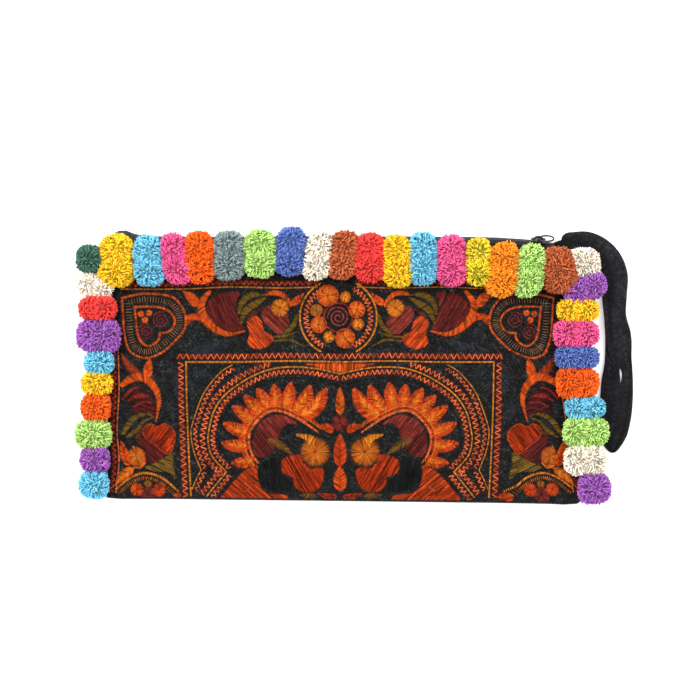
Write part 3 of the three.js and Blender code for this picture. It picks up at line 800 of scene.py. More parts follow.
class Needle:
    """Sews stitches on a chart: places are (out from the middle axis, up), in chart units. Stitches
    with a higher over lie over others."""

    def __init__(self):
        self.rows = []

    def sew(self, starts, ends, first, last=None, over=1.0, width=THREAD_WIDTH):
        count = len(starts)
        first = np.broadcast_to(first, (count, 3))
        last = first if last is None else np.broadcast_to(last, (count, 3))
        sizes = np.broadcast_to((over * THREAD_STAND, width), (count, 2))
        self.rows.append(np.hstack([starts, ends, first, last, sizes]))

    def line(self, points, thread, width, beside=0, over=1.0, closed=False):
        """A satin line: short slanted stitches across a path, whose width may change along it."""
        path = smooth_path(points, THREAD_PITCH, closed)
        along, left = ways(path)
        path = path + left * (beside * CHART_UNIT)
        spread = np.linspace(0, 1, np.size(width))
        half = np.interp(np.linspace(0, 1, len(path)), spread, np.ravel(width)) / 2 * CHART_UNIT
        reach = (left + LINE_SLANT * along) * half[:, None]
        self.sew(path - reach, path + reach, DYES[thread], over=over)

    def zigzag(self, points, near, far, period, thread):
        """One thread to and fro between two distances left of a path."""
        path = smooth_path(points, period / 2 * CHART_UNIT)
        reach = np.where(np.arange(len(path)) % 2, near, far) * CHART_UNIT
        corners = path + ways(path)[1] * reach[:, None]
        self.sew(corners[:-1], corners[1:], DYES[thread], over=ZIGZAG_OVER, width=ZIGZAG_WIDTH)

    def comb(self, points, near, far, spacing, thread, trim=0, width=THREAD_WIDTH):
        """Separate stitches between two distances left of a path."""
        path = smooth_path(points, spacing * CHART_UNIT)
        left = ways(path)[1] * CHART_UNIT
        path, left = (array[trim:len(array) - trim] for array in (path, left))
        self.sew(path + near * left, path + far * left, DYES[thread], width=width)

    def border(self, points, comb, zigzag, thread="tan"):
        """A comb, given by its distances and spacing, under a zigzag, by its distances and period."""
        self.comb(points, *comb, "maroon")
        self.zigzag(points, *zigzag, thread)

    def leaf(self, base, tip, width, bend, inner, outer=None, blunt=False, over=1.0):
        """A leaf of slanted stitches from its rib to its edges, or a petal with a broad base and a
        blunt tip."""
        base, tip = (np.array(point) * CHART_UNIT for point in (base, tip))
        side = np.array([base[1] - tip[1], tip[0] - base[0]])
        length = np.linalg.norm(side)
        side /= length
        count = max(3, round(length / THREAD_PITCH))
        at = (np.arange(count) + 0.5) / count
        if blunt:
            ahead = np.minimum(at + PETAL["slant"], PETAL["end"])
            half = (1 - ahead ** PETAL["bluntness"]) ** PETAL["roundness"]
            half = half * between(PETAL["base"], 1, np.sin(math.pi * ahead))
        else:
            ahead = np.minimum(at + LEAF["slant"], 1)
            place = ahead * (1 - 2 * LEAF["inset"]) + LEAF["inset"]
            half = np.sin(math.pi * place ** LEAF["lean"]) ** LEAF["fullness"]
        half = half * (width / 2 * CHART_UNIT)

        def rib(t):
            bow = bend * CHART_UNIT * 4 * t * (1 - t)
            return base + (tip - base) * t[:, None] + side * bow[:, None]

        for way in (-1, 1):
            starts = rib(at) - way * side * (THREAD_WIDTH / 2)
            ends = rib(ahead) + way * side * half[:, None]
            self.sew(starts, ends, DYES[inner], DYES[outer or inner], over)

    def fill(self, outline, turn, thread, second=None):
        """A closed shape filled with parallel stitches; its colour may change across the rows."""
        path = smooth_path(outline, 2 * THREAD_PITCH, closed=True)
        turn = math.radians(turn)
        spin = np.array([[math.cos(turn), math.sin(turn)], [-math.sin(turn), math.cos(turn)]])
        path = path @ spin.T
        low, high = path[:, 1].min(), path[:, 1].max()
        here, there = path, np.roll(path, -1, axis=0)
        for row in np.arange(low + THREAD_PITCH / 2, high, THREAD_PITCH):
            crossed = (here[:, 1] > row) != (there[:, 1] > row)
            a, b = here[crossed], there[crossed]
            xs = np.sort(a[:, 0] + (row - a[:, 1]) / (b[:, 1] - a[:, 1]) * (b[:, 0] - a[:, 0]))
            colour = between(DYES[thread], DYES[second or thread], (row - low) / (high - low))
            colour = colour * max(ROW_DARKEST, random.normal(1, ROW_FLICKER))
            for start, end in zip(xs[::2], xs[1::2]):
                pieces = max(1, math.ceil((end - start) / LONG_STITCH))
                cuts = np.linspace(start, end, pieces + 1)
                cuts[1:-1] += random.uniform(-STITCH_JITTER, STITCH_JITTER, pieces - 1)
                lap = np.full(pieces + 1, STITCH_LAP)
                lap[[0, -1]] = 0
                rows = np.full(pieces, row)
                starts = np.column_stack([cuts[:-1] - lap[:-1], rows]) @ spin
                ends = np.column_stack([cuts[1:] + lap[1:], rows]) @ spin
                self.sew(starts, ends, colour)

    def fan(self, centre, radius, first, last=None, over=1.0, eye=FAN_EYE):
        """Stitches like spokes from a small eye to a rim."""
        centre = np.array(centre) * CHART_UNIT
        count = max(FEWEST_SPOKES, round(FAN_DENSITY * radius * CHART_UNIT / THREAD_PITCH))
        spoke = circle(even_turns(count)) * CHART_UNIT
        self.sew(centre + eye * spoke, centre + radius * spoke, DYES[first], DYES[last or first], over)

    def spiral(self, centre, radius, turns, width, thread, over=1.0):
        turn = np.linspace(0, math.tau * turns, round(SPIRAL_DETAIL * turns))
        reach = radius * between(SPIRAL_EYE, 1, turn / turn[-1])
        self.line(circle(turn) * reach[:, None] + centre, thread, width, over=over)


def arc(centre, radius, start=0, end=360, count=14):
    """Charted points along an arc, its ends in degrees."""
    return circle(np.radians(np.linspace(start, end, count))) * radius + centre


# The chart of one half, and of the rosette and the leaves on the middle axis
HEART = [(218, 72), (216, 39), (213, 25), (208, 17), (195, 12), (179, 17), (165, 29), (155, 42), (155, 56),
         (160, 66), (168, 73), (183, 76), (200, 76), (218, 72)]
INNER_HEART_TOP = [(205.5, 63), (193, 63.5), (180, 62.5), (170, 58), (165, 49.5), (168, 41), (173.5, 37.5),
                   (180, 37)]
INNER_HEART_LOW = [(180, 37), (181, 31), (186.5, 25.5), (192.5, 24), (198.5, 28), (202.5, 37), (205.5, 63)]
HEART_LINE = 3
HEART_FRINGE = {"near": -2.6, "far": -9.5, "spacing": 2.9, "thread": "sand", "trim": 2, "width": 0.5}
HEART_CURLS = [(179, 50), (194, 38)]
CURL = {"radius": 8.5, "turns": 2.3, "width": 2.1, "thread": "claret"}
HEART_BUDS = [(199, 56), (191, 57), (195, 50)]
BUD = {"radius": 3.8, "first": "orange", "eye": 0.2}

FRAME_TOP = [(0, 8), (50, 9), (100, 8), (154, 8)]
FRAME_BAND = [*FRAME_TOP[:-1], (163, 8)]
FRAME_SIDE = [(154, 8), (153, -40), (151, -90), (149, -127)]
ARCH = [(0, -4), (22, 1), (45, 3), (68, 1), (91, -8), (114, -24), (126, -41), (131, -60), (132, -71),
        (128, -86), (114, -102)]
ARCH_FOOT = [(114, -102), (126, -117), (134, -127)]
OUTER_ARCH = [(108, 5), (120, -3), (136, -23), (147, -52), (149, -65), (146, -82), (139, -100)]
OUTER_ARCH_FOOT = [(139, -100), (144, -110), (148, -119)]
TOP_BORDER = [(22, 83), (60, 82), (110, 83), (160, 81), (219, 81)]
SIDE_BORDER = [(222, 25), (221, -20), (223, -60), (221, -90), (224, -122)]
# Zigzag borders: near and far end and spacing of the comb, near and far end and period of the zigzag
FRAME_ZIGZAG = ((2.4, 9, 1.3), (2.4, 8.6, 6.2))
ARCH_INSIDE = ((2.4, 8.8, 1.6), (2.4, 8.5, 5))
ARCH_OUTSIDE = ((-2.4, -8, 1.6), (-2.2, -7.6, 5))
OUTER_ZIGZAG = ((-2, -6.8, 1.8), (-2, -6.5, 5.4))
EDGE_ZIGZAG = ((2.6, 7.6, 1.5), (2, 7, 6))
ROSETTE_ZIGZAG = ((3, 9, 2), (3, 9, 5))
FRAME_LINE = 2.2
OUTER_LINE = 1.6
EDGE_LINE = 1.7
ARCH_SHADOW = {"thread": "black", "width": 1.4, "beside": -11}

# Crest feathers: base, tip, width, bend
FEATHERS = [
    ((44, -49), (13, -18), 18, 5),
    ((50, -45), (29, -15), 17, 4),
    ((57, -41), (49, -12), 15, 2),
    ((64, -40), (66, -14), 14, 1),
    ((71, -42), (83, -18), 14, 1),
    ((78, -47), (96, -25), 14, 1),
    ((84, -55), (108, -36), 14, 1),
    ((89, -64), (117, -53), 14, -1),
    ((89, -75), (119, -73), 14, -2),
    ((84, -88), (109, -93), 13, -2),
]
CREST_SPINE = [(22, -62), (35, -53), (47, -46), (60, -41), (72, -42), (83, -51), (90, -62), (91, -73),
               (88, -84), (82, -93)]
# Widths of the crest's ground and of its rim along the spine
CREST_WIDTHS = (2, 5, 9, 11, 11, 11, 11, 10, 7, 3)
RIM_WIDTHS = (2, 3, 3.4, 3.4, 3.4, 3.4, 3.4, 3, 3, 2)
CREST_HOLLOW = [(86, -62), (81, -53), (73, -47), (61, -44), (50, -48), (41, -55), (51, -54), (57, -58),
                (60, -66), (63, -76), (70, -85), (78, -88), (85, -85), (88, -74)]
HEART_PETALS = [(59, -91), (53, -86), (44, -84), (38, -85), (37, -92), (30, -98), (22, -97), (16, -100),
                (16, -108), (20, -118), (30, -123), (40, -121), (46, -114), (47, -108), (56, -104),
                (59, -98)]
CUP = [(81, -95), (74, -89), (66, -86), (61, -90), (60, -99), (57, -106), (49, -110), (48, -122),
       (66, -122), (80, -112), (82, -104)]
FOOT_LEAF = [(82, -95), (82, -103), (81, -110), (78, -118), (71, -123), (54, -125), (54, -131), (86, -132),
             (120, -131), (112, -117), (104, -108), (94, -99)]
# Filled shapes: outline, turn of the stitches in degrees, colours from the first row to the last
CREST_FILLS = [
    (CREST_HOLLOW, 50, "maroon", "plum"),
    (CUP, 80, "black"),
    (HEART_PETALS, 60, "rust"),
    (FOOT_LEAF, 40, "rust", "flame"),
]
# Satin lines: route, colour, widths along it, distance beside it, over
CREST_GROUND = (CREST_SPINE, "flame", CREST_WIDTHS, 6)
SPINE_LINES = [
    (CREST_SPINE, "tan", RIM_WIDTHS, 0, 2.6),
    (CREST_SPINE, "maroon", 1.3, 2.6, 2.4),
    (CREST_SPINE, "gold", 1.5, 4.4, 2.6),
]
CREST_DISC = (25, -82)
DISC_RADIUS = 15.2
DISC_LINES = [(arc(CREST_DISC, 4, 0, 330), "flame", 1.6, 0, 2), (arc(CREST_DISC, 10), "amber", 1.4, 0, 2)]
DISC_RIM = arc(CREST_DISC, 15, 20, 330, 24)
DISC_FRINGE = {"near": -1.6, "far": 0.4, "spacing": 2.2, "thread": "brown"}

POD = [(134, 61), (131, 70), (122, 77), (108, 79), (100, 77), (103, 68), (103, 58), (99, 48), (96, 40),
       (106, 38), (120, 42), (130, 51)]
POD_PARTING = [(138, 54), (131, 47), (121, 41.5), (110, 38)]
PLUM_HEART = [(79, 57), (76, 63), (69, 65), (63, 56), (54, 55), (50, 48), (54, 39), (62, 35), (70, 43),
              (77, 50)]
TWIN_BUD = [(94, 48), (90, 54), (83, 54), (78, 48), (75, 39), (68, 35), (66, 29), (72, 23), (81, 20),
            (89, 23), (93, 29), (91, 37)]
WEDGE = [(37, 6.5), (17, 7), (0, 7), (0, -3), (12, -1), (24, 2.5)]
SIDE_POD = [(200, -19), (192, -21), (186, -30), (183, -39), (184, -48), (192, -46), (200, -44), (208, -44),
            (209, -36), (205, -30), (210, -24)]
SIDE_SHADE = [(203, -68), (192, -66), (182, -74), (174, -83), (178, -90), (187, -94), (195, -92),
              (200, -80)]
SIDE_HEART = [(183, -57), (176, -54), (168, -58), (165, -66), (167, -76), (172, -84), (184, -76),
              (194, -68), (197, -60), (190, -54)]
SIDE_FAN = [(196, -98), (186, -92), (174, -86), (167, -82), (166, -95), (164, -109), (172, -102),
            (182, -102)]
SIDE_MEDALLION = [(224, -119), (210, -108), (195, -103), (178, -108), (162, -121)]
MEDALLION_FRINGE = {"near": 2.5, "far": 7, "spacing": 2.4, "thread": "amber"}
BAND_FILLS = [
    (POD, 65, "maroon"),
    (PLUM_HEART, 45, "plum"),
    (TWIN_BUD, 50, "flame"),
    (WEDGE, 90, "flame", "orange"),
    (SIDE_POD, 20, "wine"),
    (SIDE_SHADE, 40, "wine", "maroon"),
    (SIDE_FAN, 25, "olive"),
    (SIDE_HEART, 125, "rust"),
]
SIDE_HEART_EDGE = (SIDE_HEART, "flame", 1.8, 0, 2)
POD_LINE = (POD_PARTING, "maroon", 1, 0, 3)

# Leaves of the bands: base, tip, width, bend, colour at the rib, colour at the edge if it differs
LEAVES = [
    ((142, 62), (157, 79), 11, 2, "orange", "flame"),
    ((156, 52), (139, 57), 7, 1, "orange", "rust"),
    ((50, 65), (36, 77), 8, 1, "flame", "orange"),
    ((195, -9), (219, 17), 10, -3, "rust", "brown"),
    ((192, -10), (190, 12), 10, -1, "flame", "orange"),
    ((210, -97), (219, -71), 10, -1, "rust", "orange"),
    ((199, -99), (207, -76), 18, 0, "amber", "orange"),
    ((205, -98), (225, -115), 11, 2, "gold", "flame"),
    ((163, -132), (162, -122), 9, 1, "rust", "flame"),
    # Black-on-black leaves, their grey partly painted sheen
    ((152, 18), (118, 30), 11, 3, "slate"),
    ((128, 16), (108, 31), 10, -3, "slate"),
    ((150, 30), (142, 44), 8, 0, "slate"),
    ((26, 14), (46, 20), 8, 1, "slate"),
    ((148, 2), (128, -6), 9, 1, "slate"),
    ((150, -8), (146, -28), 7, 1, "slate"),
    ((168, 2), (164, -26), 11, -2, "slate"),
    ((168, -30), (166, -52), 10, 2, "slate"),
    ((208, 4), (214, 16), 7, 0, "slate"),
    ((202, -60), (214, -46), 10, 1, "slate"),
    ((74, -69), (47, -85), 9, -2, "olive", "brown"),
    ((6, -62), (21, -55), 9, 1, "rust", "flame"),
    ((2, -126), (22, -123), 7, -2, "maroon", "rust"),
    ((23, -126), (42, -125), 7, 0, "olive", "brown"),
]
# Round flowers of the bands: centre, radius, colour within, colour at the rim if it differs
BAND_DISCS = [
    ((60, 62), 9.5, "amber", "gold"),
    ((203.5, -86), 9.5, "amber"),
    ((192, -125), 8.5, "wine", "plum"),
    ((203, -119.5), 7, "rust", "orange"),
    ((181, -120), 7, "rust", "flame"),
    ((192, -114), 4.5, "amber", "olive"),
]
# Satin bands: route, colour, widths along it
BANDS = [
    ([(130, 79), (138, 68), (137, 55), (127, 43), (112, 36), (95, 39)], "orange", (4, 8, 10, 8, 5, 2)),
    ([(155, 44), (146, 52), (136, 49), (127, 40), (117, 35)], "flame", (3, 5, 5, 4, 2)),
    ([(74, 75), (67, 77), (59, 76), (52, 70), (49, 64)], "orange", (3, 6, 6, 5, 3)),
    ([(66, 33), (55, 34), (43, 38)], "olive", (3, 4, 2)),
    ([(65, 29), (50, 30), (37, 24)], "olive", (3, 4, 2)),
    ([(56, 36), (47, 44), (43, 56)], "olive", (4, 6, 3)),
    ([(126, 66), (124, 56), (116, 47), (104, 42)], "wine", (1, 2, 2, 1)),
    ([(121, 71), (117, 60), (110, 51), (100, 45)], "wine", (1, 2, 2, 1)),
    ([(113, 75), (109, 64), (104, 55)], "wine", (1, 2, 1)),
    ([(219, -16), (207, -8), (195, -8), (185, -18), (181, -30), (182, -40), (184, -51)], "orange",
     (5, 9, 10, 8, 6, 4, 2)),
    ([(217, -29), (209, -20), (200, -17)], "red", (3, 4, 3)),
    ([(212, -31), (203, -26), (192, -26)], "red", (3, 6, 4)),
    ([(206, -37), (197, -32), (188, -33)], "red", (2, 4, 3)),
    ([(203, -42), (194, -38), (186, -39)], "maroon", (2, 4, 2)),
    ([(217, -64), (209, -51), (200, -45), (191, -44), (186, -48)], "olive", (4, 7, 6, 4, 2)),
    ([(213, -67), (203, -60), (197, -52), (189, -48)], "olive", (3, 6, 4, 2)),
    ([(203, -68), (199, -61), (193, -54)], "brown", (5, 6, 3)),
    ([(101, 56), (98, 67), (89, 75), (76, 75)], "olive", (3, 7, 7, 2)),
    ([(99, 47), (94, 59), (85, 66), (75, 72)], "olive", (3, 8, 8, 3)),
    ([(93, 49), (85, 58), (77, 62)], "brown", (3, 6, 2)),
    (SIDE_MEDALLION, "gold", (2, 3, 3, 3, 2)),
    ([(43, -65), (37, -66.5), (31, -69), (27, -74)], "gold", (3, 5, 9, 13)),
    ([(101, -126), (92, -119), (83, -112)], "tan", (1, 1.4, 1)),
]
ROSETTE = (-1.6, 52.6)
ROSETTE_ARCS = [arc(ROSETTE, 38.5, -62, 62), arc(ROSETTE, 38.5, 118, 242)]
ROSETTE_LINE = 2.7
ROSETTE_EYE = (ROSETTE, 14, "black")
EYE_RIM = (arc(ROSETTE, 14.4, count=24), "plum", 3, 0, 2.2)
EYE_CURL = {"radius": 11, "turns": 2.5, "width": 2.6, "thread": "crimson", "over": 2.8}
PETAL_RING = {"thread": "rust", "width": 1.2, "over": 2}
PETAL_RIM = {"width": 1.8, "over": 1.5}
PETAL_RIM_INSET = 0.6
MIDDLE_LEAVES = [
    ((0, -46), (0, -17), 10, 0, "amber", "flame"),
    ((0, -98), (0, -64), 14, 0, "rust", "flame"),
    ((0, -122), (0, -96), 14, 0, "flame", "orange"),
]
MIDDLE_BUD = ((0, -53), 9, "maroon")
# Petals of the rosette: turn in degrees, distance of their middle, radius, colours within and at the rim
PETALS = [
    (116, 24.3, 11, "amber", "orange"),
    (71, 21.5, 5.8, "gold", "amber"),
    (23, 20, 8.5, "amber", "orange"),
    (-19, 21, 6, "gold", "amber"),
    (-72, 22, 10, "amber", "orange"),
    (-116, 21.7, 5.8, "gold", "amber"),
    (-160, 21, 8.3, "amber", "orange"),
    (162, 23, 6.2, "olive", "amber"),
]


def sew_heart(needle):
    for route in (HEART, INNER_HEART_TOP, INNER_HEART_LOW):
        needle.line(route, "orange", HEART_LINE)
    needle.comb(HEART, **HEART_FRINGE)
    for centre in HEART_CURLS:
        needle.spiral(centre, **CURL)
    for centre in HEART_BUDS:
        needle.fan(centre, **BUD)


def sew_frame(needle):
    for line, band in ((FRAME_TOP, FRAME_BAND), (FRAME_SIDE, FRAME_SIDE)):
        needle.border(band, *FRAME_ZIGZAG)
        needle.line(line, "gold", FRAME_LINE)
    for line in (ARCH[3:], ARCH_FOOT):
        needle.border(line, *ARCH_INSIDE)
    for line in (ARCH, ARCH_FOOT):
        needle.border(line, *ARCH_OUTSIDE)
        needle.line(line, **ARCH_SHADOW)
        needle.line(line, "gold", FRAME_LINE)
    for line in (OUTER_ARCH, OUTER_ARCH_FOOT):
        needle.border(line, *OUTER_ZIGZAG)
        needle.line(line, "gold", OUTER_LINE)
    for line, edging in ((TOP_BORDER, "gold"), (SIDE_BORDER, "tan")):
        needle.border(line, *EDGE_ZIGZAG, "flame")
        needle.line(line, edging, EDGE_LINE)


def sew_crest(needle):
    for shape in CREST_FILLS:
        needle.fill(*shape)
    needle.line(*CREST_GROUND)
    for base, tip, width, bend in FEATHERS:
        needle.leaf(base, tip, width, bend, "flame", blunt=True)
        start, end = (between(np.array(base), np.array(tip), VEIN[place]) for place in ("start", "end"))
        needle.leaf(start, end, width * VEIN["width"], bend * VEIN["bend"], "gold", "orange", over=RAISED)
    for line in SPINE_LINES:
        needle.line(*line)
    needle.fan(CREST_DISC, DISC_RADIUS, "amber")
    for line in DISC_LINES:
        needle.line(*line)
    needle.comb(DISC_RIM, **DISC_FRINGE)


def sew_bands(needle):
    for shape in BAND_FILLS:
        needle.fill(*shape)
    needle.line(*SIDE_HEART_EDGE, closed=True)
    for leaf in LEAVES:
        needle.leaf(*leaf)
    for band in BANDS:
        needle.line(*band, over=RAISED)
    needle.line(*POD_LINE)
    for disc in BAND_DISCS:
        needle.fan(*disc, over=RAISED)
    needle.comb(SIDE_MEDALLION, **MEDALLION_FRINGE)


def sew_middle(needle):
    """The rosette and the column of leaves on the middle axis."""
    for ring in ROSETTE_ARCS:
        needle.border(ring, *ROSETTE_ZIGZAG)
        needle.line(ring, "gold", ROSETTE_LINE)
    for turn, reach, size, inner, outer in PETALS:
        turn = math.radians(turn)
        middle = np.array(ROSETTE) + reach * np.array([math.cos(turn), math.sin(turn)])
        needle.fan(middle, size, inner, outer)
        needle.line(arc(middle, size / 2, count=12), **PETAL_RING)
        needle.line(arc(middle, size - PETAL_RIM_INSET, count=16), outer, **PETAL_RIM)
    needle.fan(*ROSETTE_EYE)
    needle.line(*EYE_RIM)
    needle.spiral(ROSETTE, **EYE_CURL)
    top, *lower = MIDDLE_LEAVES
    needle.leaf(*top)
    needle.fan(*MIDDLE_BUD)
    for leaf in lower:
        needle.leaf(*leaf)


def stitch_shapes(rows, cuts, heights_at, upward):
    """Closed three-sided threads that rise out of the cloth and dip back into it."""
    width = rows[:, WIDTH]
    left = left_of(unit(rows[:, END] - rows[:, START]))
    # Each stitch's brightness is partly its own tone and partly painted sheen
    bright = np.clip(random.normal(1, THREAD_FLICKER, len(rows)), *FLICKER_RANGE)[:, None]
    points, tints = [], []
    for cut in cuts:
        middle = between(rows[:, START], rows[:, END], cut)
        level = heights_at(middle[:, 0], middle[:, 1])
        inside = 0 < cut < 1
        risen = rows[:, STAND] if inside else -THREAD_ROOT / 2
        # The ends, where the thread dips into the cloth, get painted shade
        shade = bright if inside else bright * END_SHADE
        for reach, rise in ((width / 2, -THREAD_ROOT), (0 * width, risen), (-width / 2, -THREAD_ROOT)):
            points.append(np.column_stack([middle + left * reach[:, None], level + upward * rise]))
            tints.append(between(rows[:, FIRST], rows[:, LAST], cut) * shade)
    size = len(points)
    one = []
    for a, b, c, d in tube_faces(len(cuts), 3):
        one += [(a, b, c), (a, c, d)]
    one += [(0, 2, 1), (size - 3, size - 2, size - 1)]
    faces = repeated(one, len(rows), size)
    return in_rows(points), faces if upward > 0 else faces[:, ::-1], in_rows(tints)


def make_stitches(name, rows, heights_at, upward):
    short = np.linalg.norm(rows[:, END] - rows[:, START], axis=1) < SHORT_STITCH
    few = stitch_shapes(rows[short], SHORT_CUTS, heights_at, upward)
    many = stitch_shapes(rows[~short], LONG_CUTS, heights_at, upward)
    dress(new_object(name, "thread", *joined(few, many)), "embroidered_cloth")


def askew(x, y):
    """How far the right half lies out from where the left half mirrored would."""
    x, y = x / CHART_UNIT, y / CHART_UNIT
    into = np.clip((x - ASKEW_STRIP["from"]) / ASKEW_STRIP["over"], 0, 1)
    strip = into * np.maximum(ASKEW_STRIP["slope"] * (y - ASKEW_STRIP["level"]), ASKEW_BAND["shift"])
    return CHART_UNIT * np.where(y > ASKEW_BAND["from"], ASKEW_BAND["shift"], strip)


def placed(rows, side):
    """Charted stitches on the cloth, on the right of the axis or mirrored to its left, cut at the
    fold."""
    rows = rows.copy()
    for end in (START, END):
        x = rows[:, end.start]
        if side > 0:
            x = x + askew(*rows[:, end].T)
        rows[:, end.start] = CHART_AXIS + (side or 1) * x
        rows[:, end] = drawn_in(rows[:, end], front_at(*rows[:, end].T))
    floor = np.interp((rows[:, 0] + rows[:, 2]) / 2, COLUMN_X, BOTTOM) + FOLD_MARGIN
    clear = np.maximum(rows[:, 1], rows[:, 3]) > floor + THREAD_WIDTH
    rows, floor = rows[clear], floor[clear]
    for low, high in ((START, END), (END, START)):
        drop, rise = rows[:, low][:, 1] - floor, rows[:, high][:, 1] - floor
        below = drop < 0
        share = (rise / (rise - drop))[below, None]
        rows[below, low] = between(rows[below, high], rows[below, low], share)
    return rows[np.linalg.norm(rows[:, END] - rows[:, START], axis=1) > THREAD_WIDTH]


def embroider():
    halves, middle = Needle(), Needle()
    for motif in (sew_bands, sew_crest, sew_heart, sew_frame):
        motif(halves)
    sew_middle(middle)
    half = np.vstack(halves.rows)
    whole = np.vstack(middle.rows)
    sides = {"left": placed(half, -1), "right": placed(half, 1), "middle": placed(whole, 0)}
    for side, rows in sides.items():
        make_stitches(f"front_stitches_{side}", rows, front_at, 1)
        broad = rows[::2].copy()
        broad[:, WIDTH] *= BACK_BROADER
        make_stitches(f"back_stitches_{side}", broad, back_at, -1)


embroider()


def perpendiculars(directions):
    """Two unit directions square to each of many."""
    other = np.where(np.abs(directions[:, 2:]) < STEEP, (0, 0, 1), (1, 0, 0))
    first = unit(np.cross(directions, other))
    return first, np.cross(directions, first)


def tuft_surface(count, half, waist):
    """Evenly spread points on a long rounded block that is narrowed at its waist."""
    place = np.linspace(-1, 1, TUFT_DETAIL)
    girth = (1 - np.abs(place) ** TUFT_SQUARE) ** (1 / TUFT_SQUARE)
    girth *= 1 - waist * np.exp(-((place / WAIST_REACH) ** 2))
    run = np.hypot(np.diff(place) * half[0], np.diff(girth) * (half[1] + half[2]) / 2)
    area = np.append(0, np.cumsum(run * (girth[1:] + girth[:-1])))
    spot = np.interp((np.arange(count) + 0.5) / count * area[-1], area, place)
    size = np.interp(spot, place, girth)
    turn = np.arange(count) * GOLDEN_TURN + random.uniform(0, FIRST_TURN)
    spots = np.column_stack([spot, circle(turn) * size[:, None]])
    return spots[spots[:, 2] > TUFT_FLOOR] * half


def block_share(places):
    """How far out places lie in a rounded block: 1 on its surface."""
    return (np.abs(places) ** TUFT_SQUARE).sum(1, keepdims=True) ** (1 / TUFT_SQUARE)


def trimmed(tips, half):
    """Yarn ends cut back, unevenly, to the tuft's rounded block."""
    share = block_share(tips / half)
    return tips * np.minimum(1, random.uniform(*TUFT_TRIM, share.shape) / share)


def strands(roots, bends, tips, colour):
    """Three-sided yarn ends with blunt tips, each curling over from its root past its bend."""
    count = len(roots)
    first, second = perpendiculars(unit(tips - roots))
    radius = YARN_RADIUS * random.uniform(*YARN_THICKNESS, count)
    bright = np.clip(random.normal(1, YARN_FLICKER, count), *YARN_RANGE)[:, None] * colour
    turn = random.uniform(0, math.tau, count)
    # The root gets painted shade, the rings grow lighter outwards and the tip gets a painted highlight
    points, tints = [roots], [bright * STRAND_ROOT_PAINTED_SHADE]
    for share, size, shade in STRAND_RINGS:
        middle = between(between(roots, bends, share), between(bends, tips, share), share)
        for side in range(3):
            angle = (turn + math.tau * side / 3)[:, None]
            out = first * np.cos(angle) + second * np.sin(angle)
            points.append(middle + out * (radius * size)[:, None])
            tints.append(bright * shade)
    points.append(tips)
    tints.append(bright * STRAND_TIP_PAINTED_LIGHT)
    return in_rows(points), repeated(STRAND_FACES, count, len(points)), in_rows(tints)


def ball():
    """Points and faces of a finely divided unit ball."""
    bm = bmesh.new()
    bmesh.ops.create_icosphere(bm, subdivisions=CORE_DETAIL, radius=1)
    points = np.array([vertex.co for vertex in bm.verts])
    faces = np.array([[vertex.index for vertex in face.verts] for face in bm.faces])
    bm.free()
    return points, faces


BALL_POINTS, BALL_FACES = ball()


def make_pompom(node, yarn):
    """One or two tufts of yarn ends over a soft core, pressed square against their neighbours."""
    corners = corners_of(node)
    centre = (corners.min(0) + corners.max(0)) / 2
    colour = linear(YARN_COLOURS[DYED.get(node, yarn)])
    offset = corners - centre
    lengthwise = np.append(np.linalg.svd(offset[:, :2], full_matrices=False)[2][0], 0)
    lengthwise *= -np.sign(lengthwise @ (centre - TRIM_MIDDLE))
    axes = np.array([lengthwise, (-lengthwise[1], lengthwise[0], 0), (0, 0, 1)])
    shift, growth, lean_across = NUDGES.get(node, STILL)
    half = np.ptp(offset @ axes.T, axis=0) / 2 + TUFT_PRESS + growth
    centre = np.append(drawn_in(centre[:2], centre[2]), centre[2]) + shift
    long = half[0] > TWO_HEADS_FROM * half[1]
    area = 4 * math.pi * ((half[0] * half[1] + half[0] * half[2] + half[1] * half[2]) / 3)
    spots = tuft_surface(int(area / YARN_AREA), half, random.uniform(*WAIST) if long else 0)
    heads = np.array([-HEAD_SPREAD, HEAD_SPREAD] if long else [0.0])
    heads = heads + random.uniform(-HEAD_JITTER, HEAD_JITTER, len(heads))
    heads = np.outer(heads, (half[0], 0, 0)) - (0, 0, HEAD_DROP * half[2])
    from_head = spots - heads[np.abs(spots[:, :1] - heads[:, 0]).argmin(1)]
    reach = np.linalg.norm(from_head, axis=1, keepdims=True)
    way = from_head / reach
    combed = from_head * (1, 1, 0)
    combed /= np.maximum(np.linalg.norm(combed, axis=1, keepdims=True), WHORL)
    lean = combed * random.uniform(*STRAND_COMB, reach.shape) + random.normal(0, STRAND_LEAN, spots.shape)
    lean -= way * (lean * way).sum(1, keepdims=True)
    bends = spots - way * random.uniform(*STRAND_DEPTH, reach.shape)
    roots = bends - way * np.minimum(STRAND_REACH, STRAND_SHARE * reach)
    tips = trimmed(bends + lean, half)
    lumps = 1 + CORE_LUMPS * np.sin(BALL_POINTS @ CORE_RIPPLE)
    core = BALL_POINTS / block_share(BALL_POINTS) * lumps[:, None] * half * CORE_SHARE

    def settled(places):
        broad = 1 + TUFT_SWELL * places[:, 0] / half[0]
        across = places[:, 1] * broad + lean_across * places[:, 0]
        return np.column_stack([places[:, 0], across, places[:, 2]]) @ axes + centre

    # The core carries painted shade
    inside = settled(core), BALL_FACES, np.broadcast_to(colour * CORE_SHADE, core.shape)
    outside = strands(settled(roots), settled(bends), settled(tips), colour)
    dress(new_object(f"{node}_yarn", "yarn", *joined(inside, outside)), f"yarn_{yarn}", node)


# Each pompom has the yarn colour that its slot in the record names
for part in sorted(frame["record"]["subparts"], key=lambda part: part["node"]):
    if part["node"].startswith("pompom_"):
        make_pompom(part["node"], part["material_slot"].removeprefix("yarn_"))


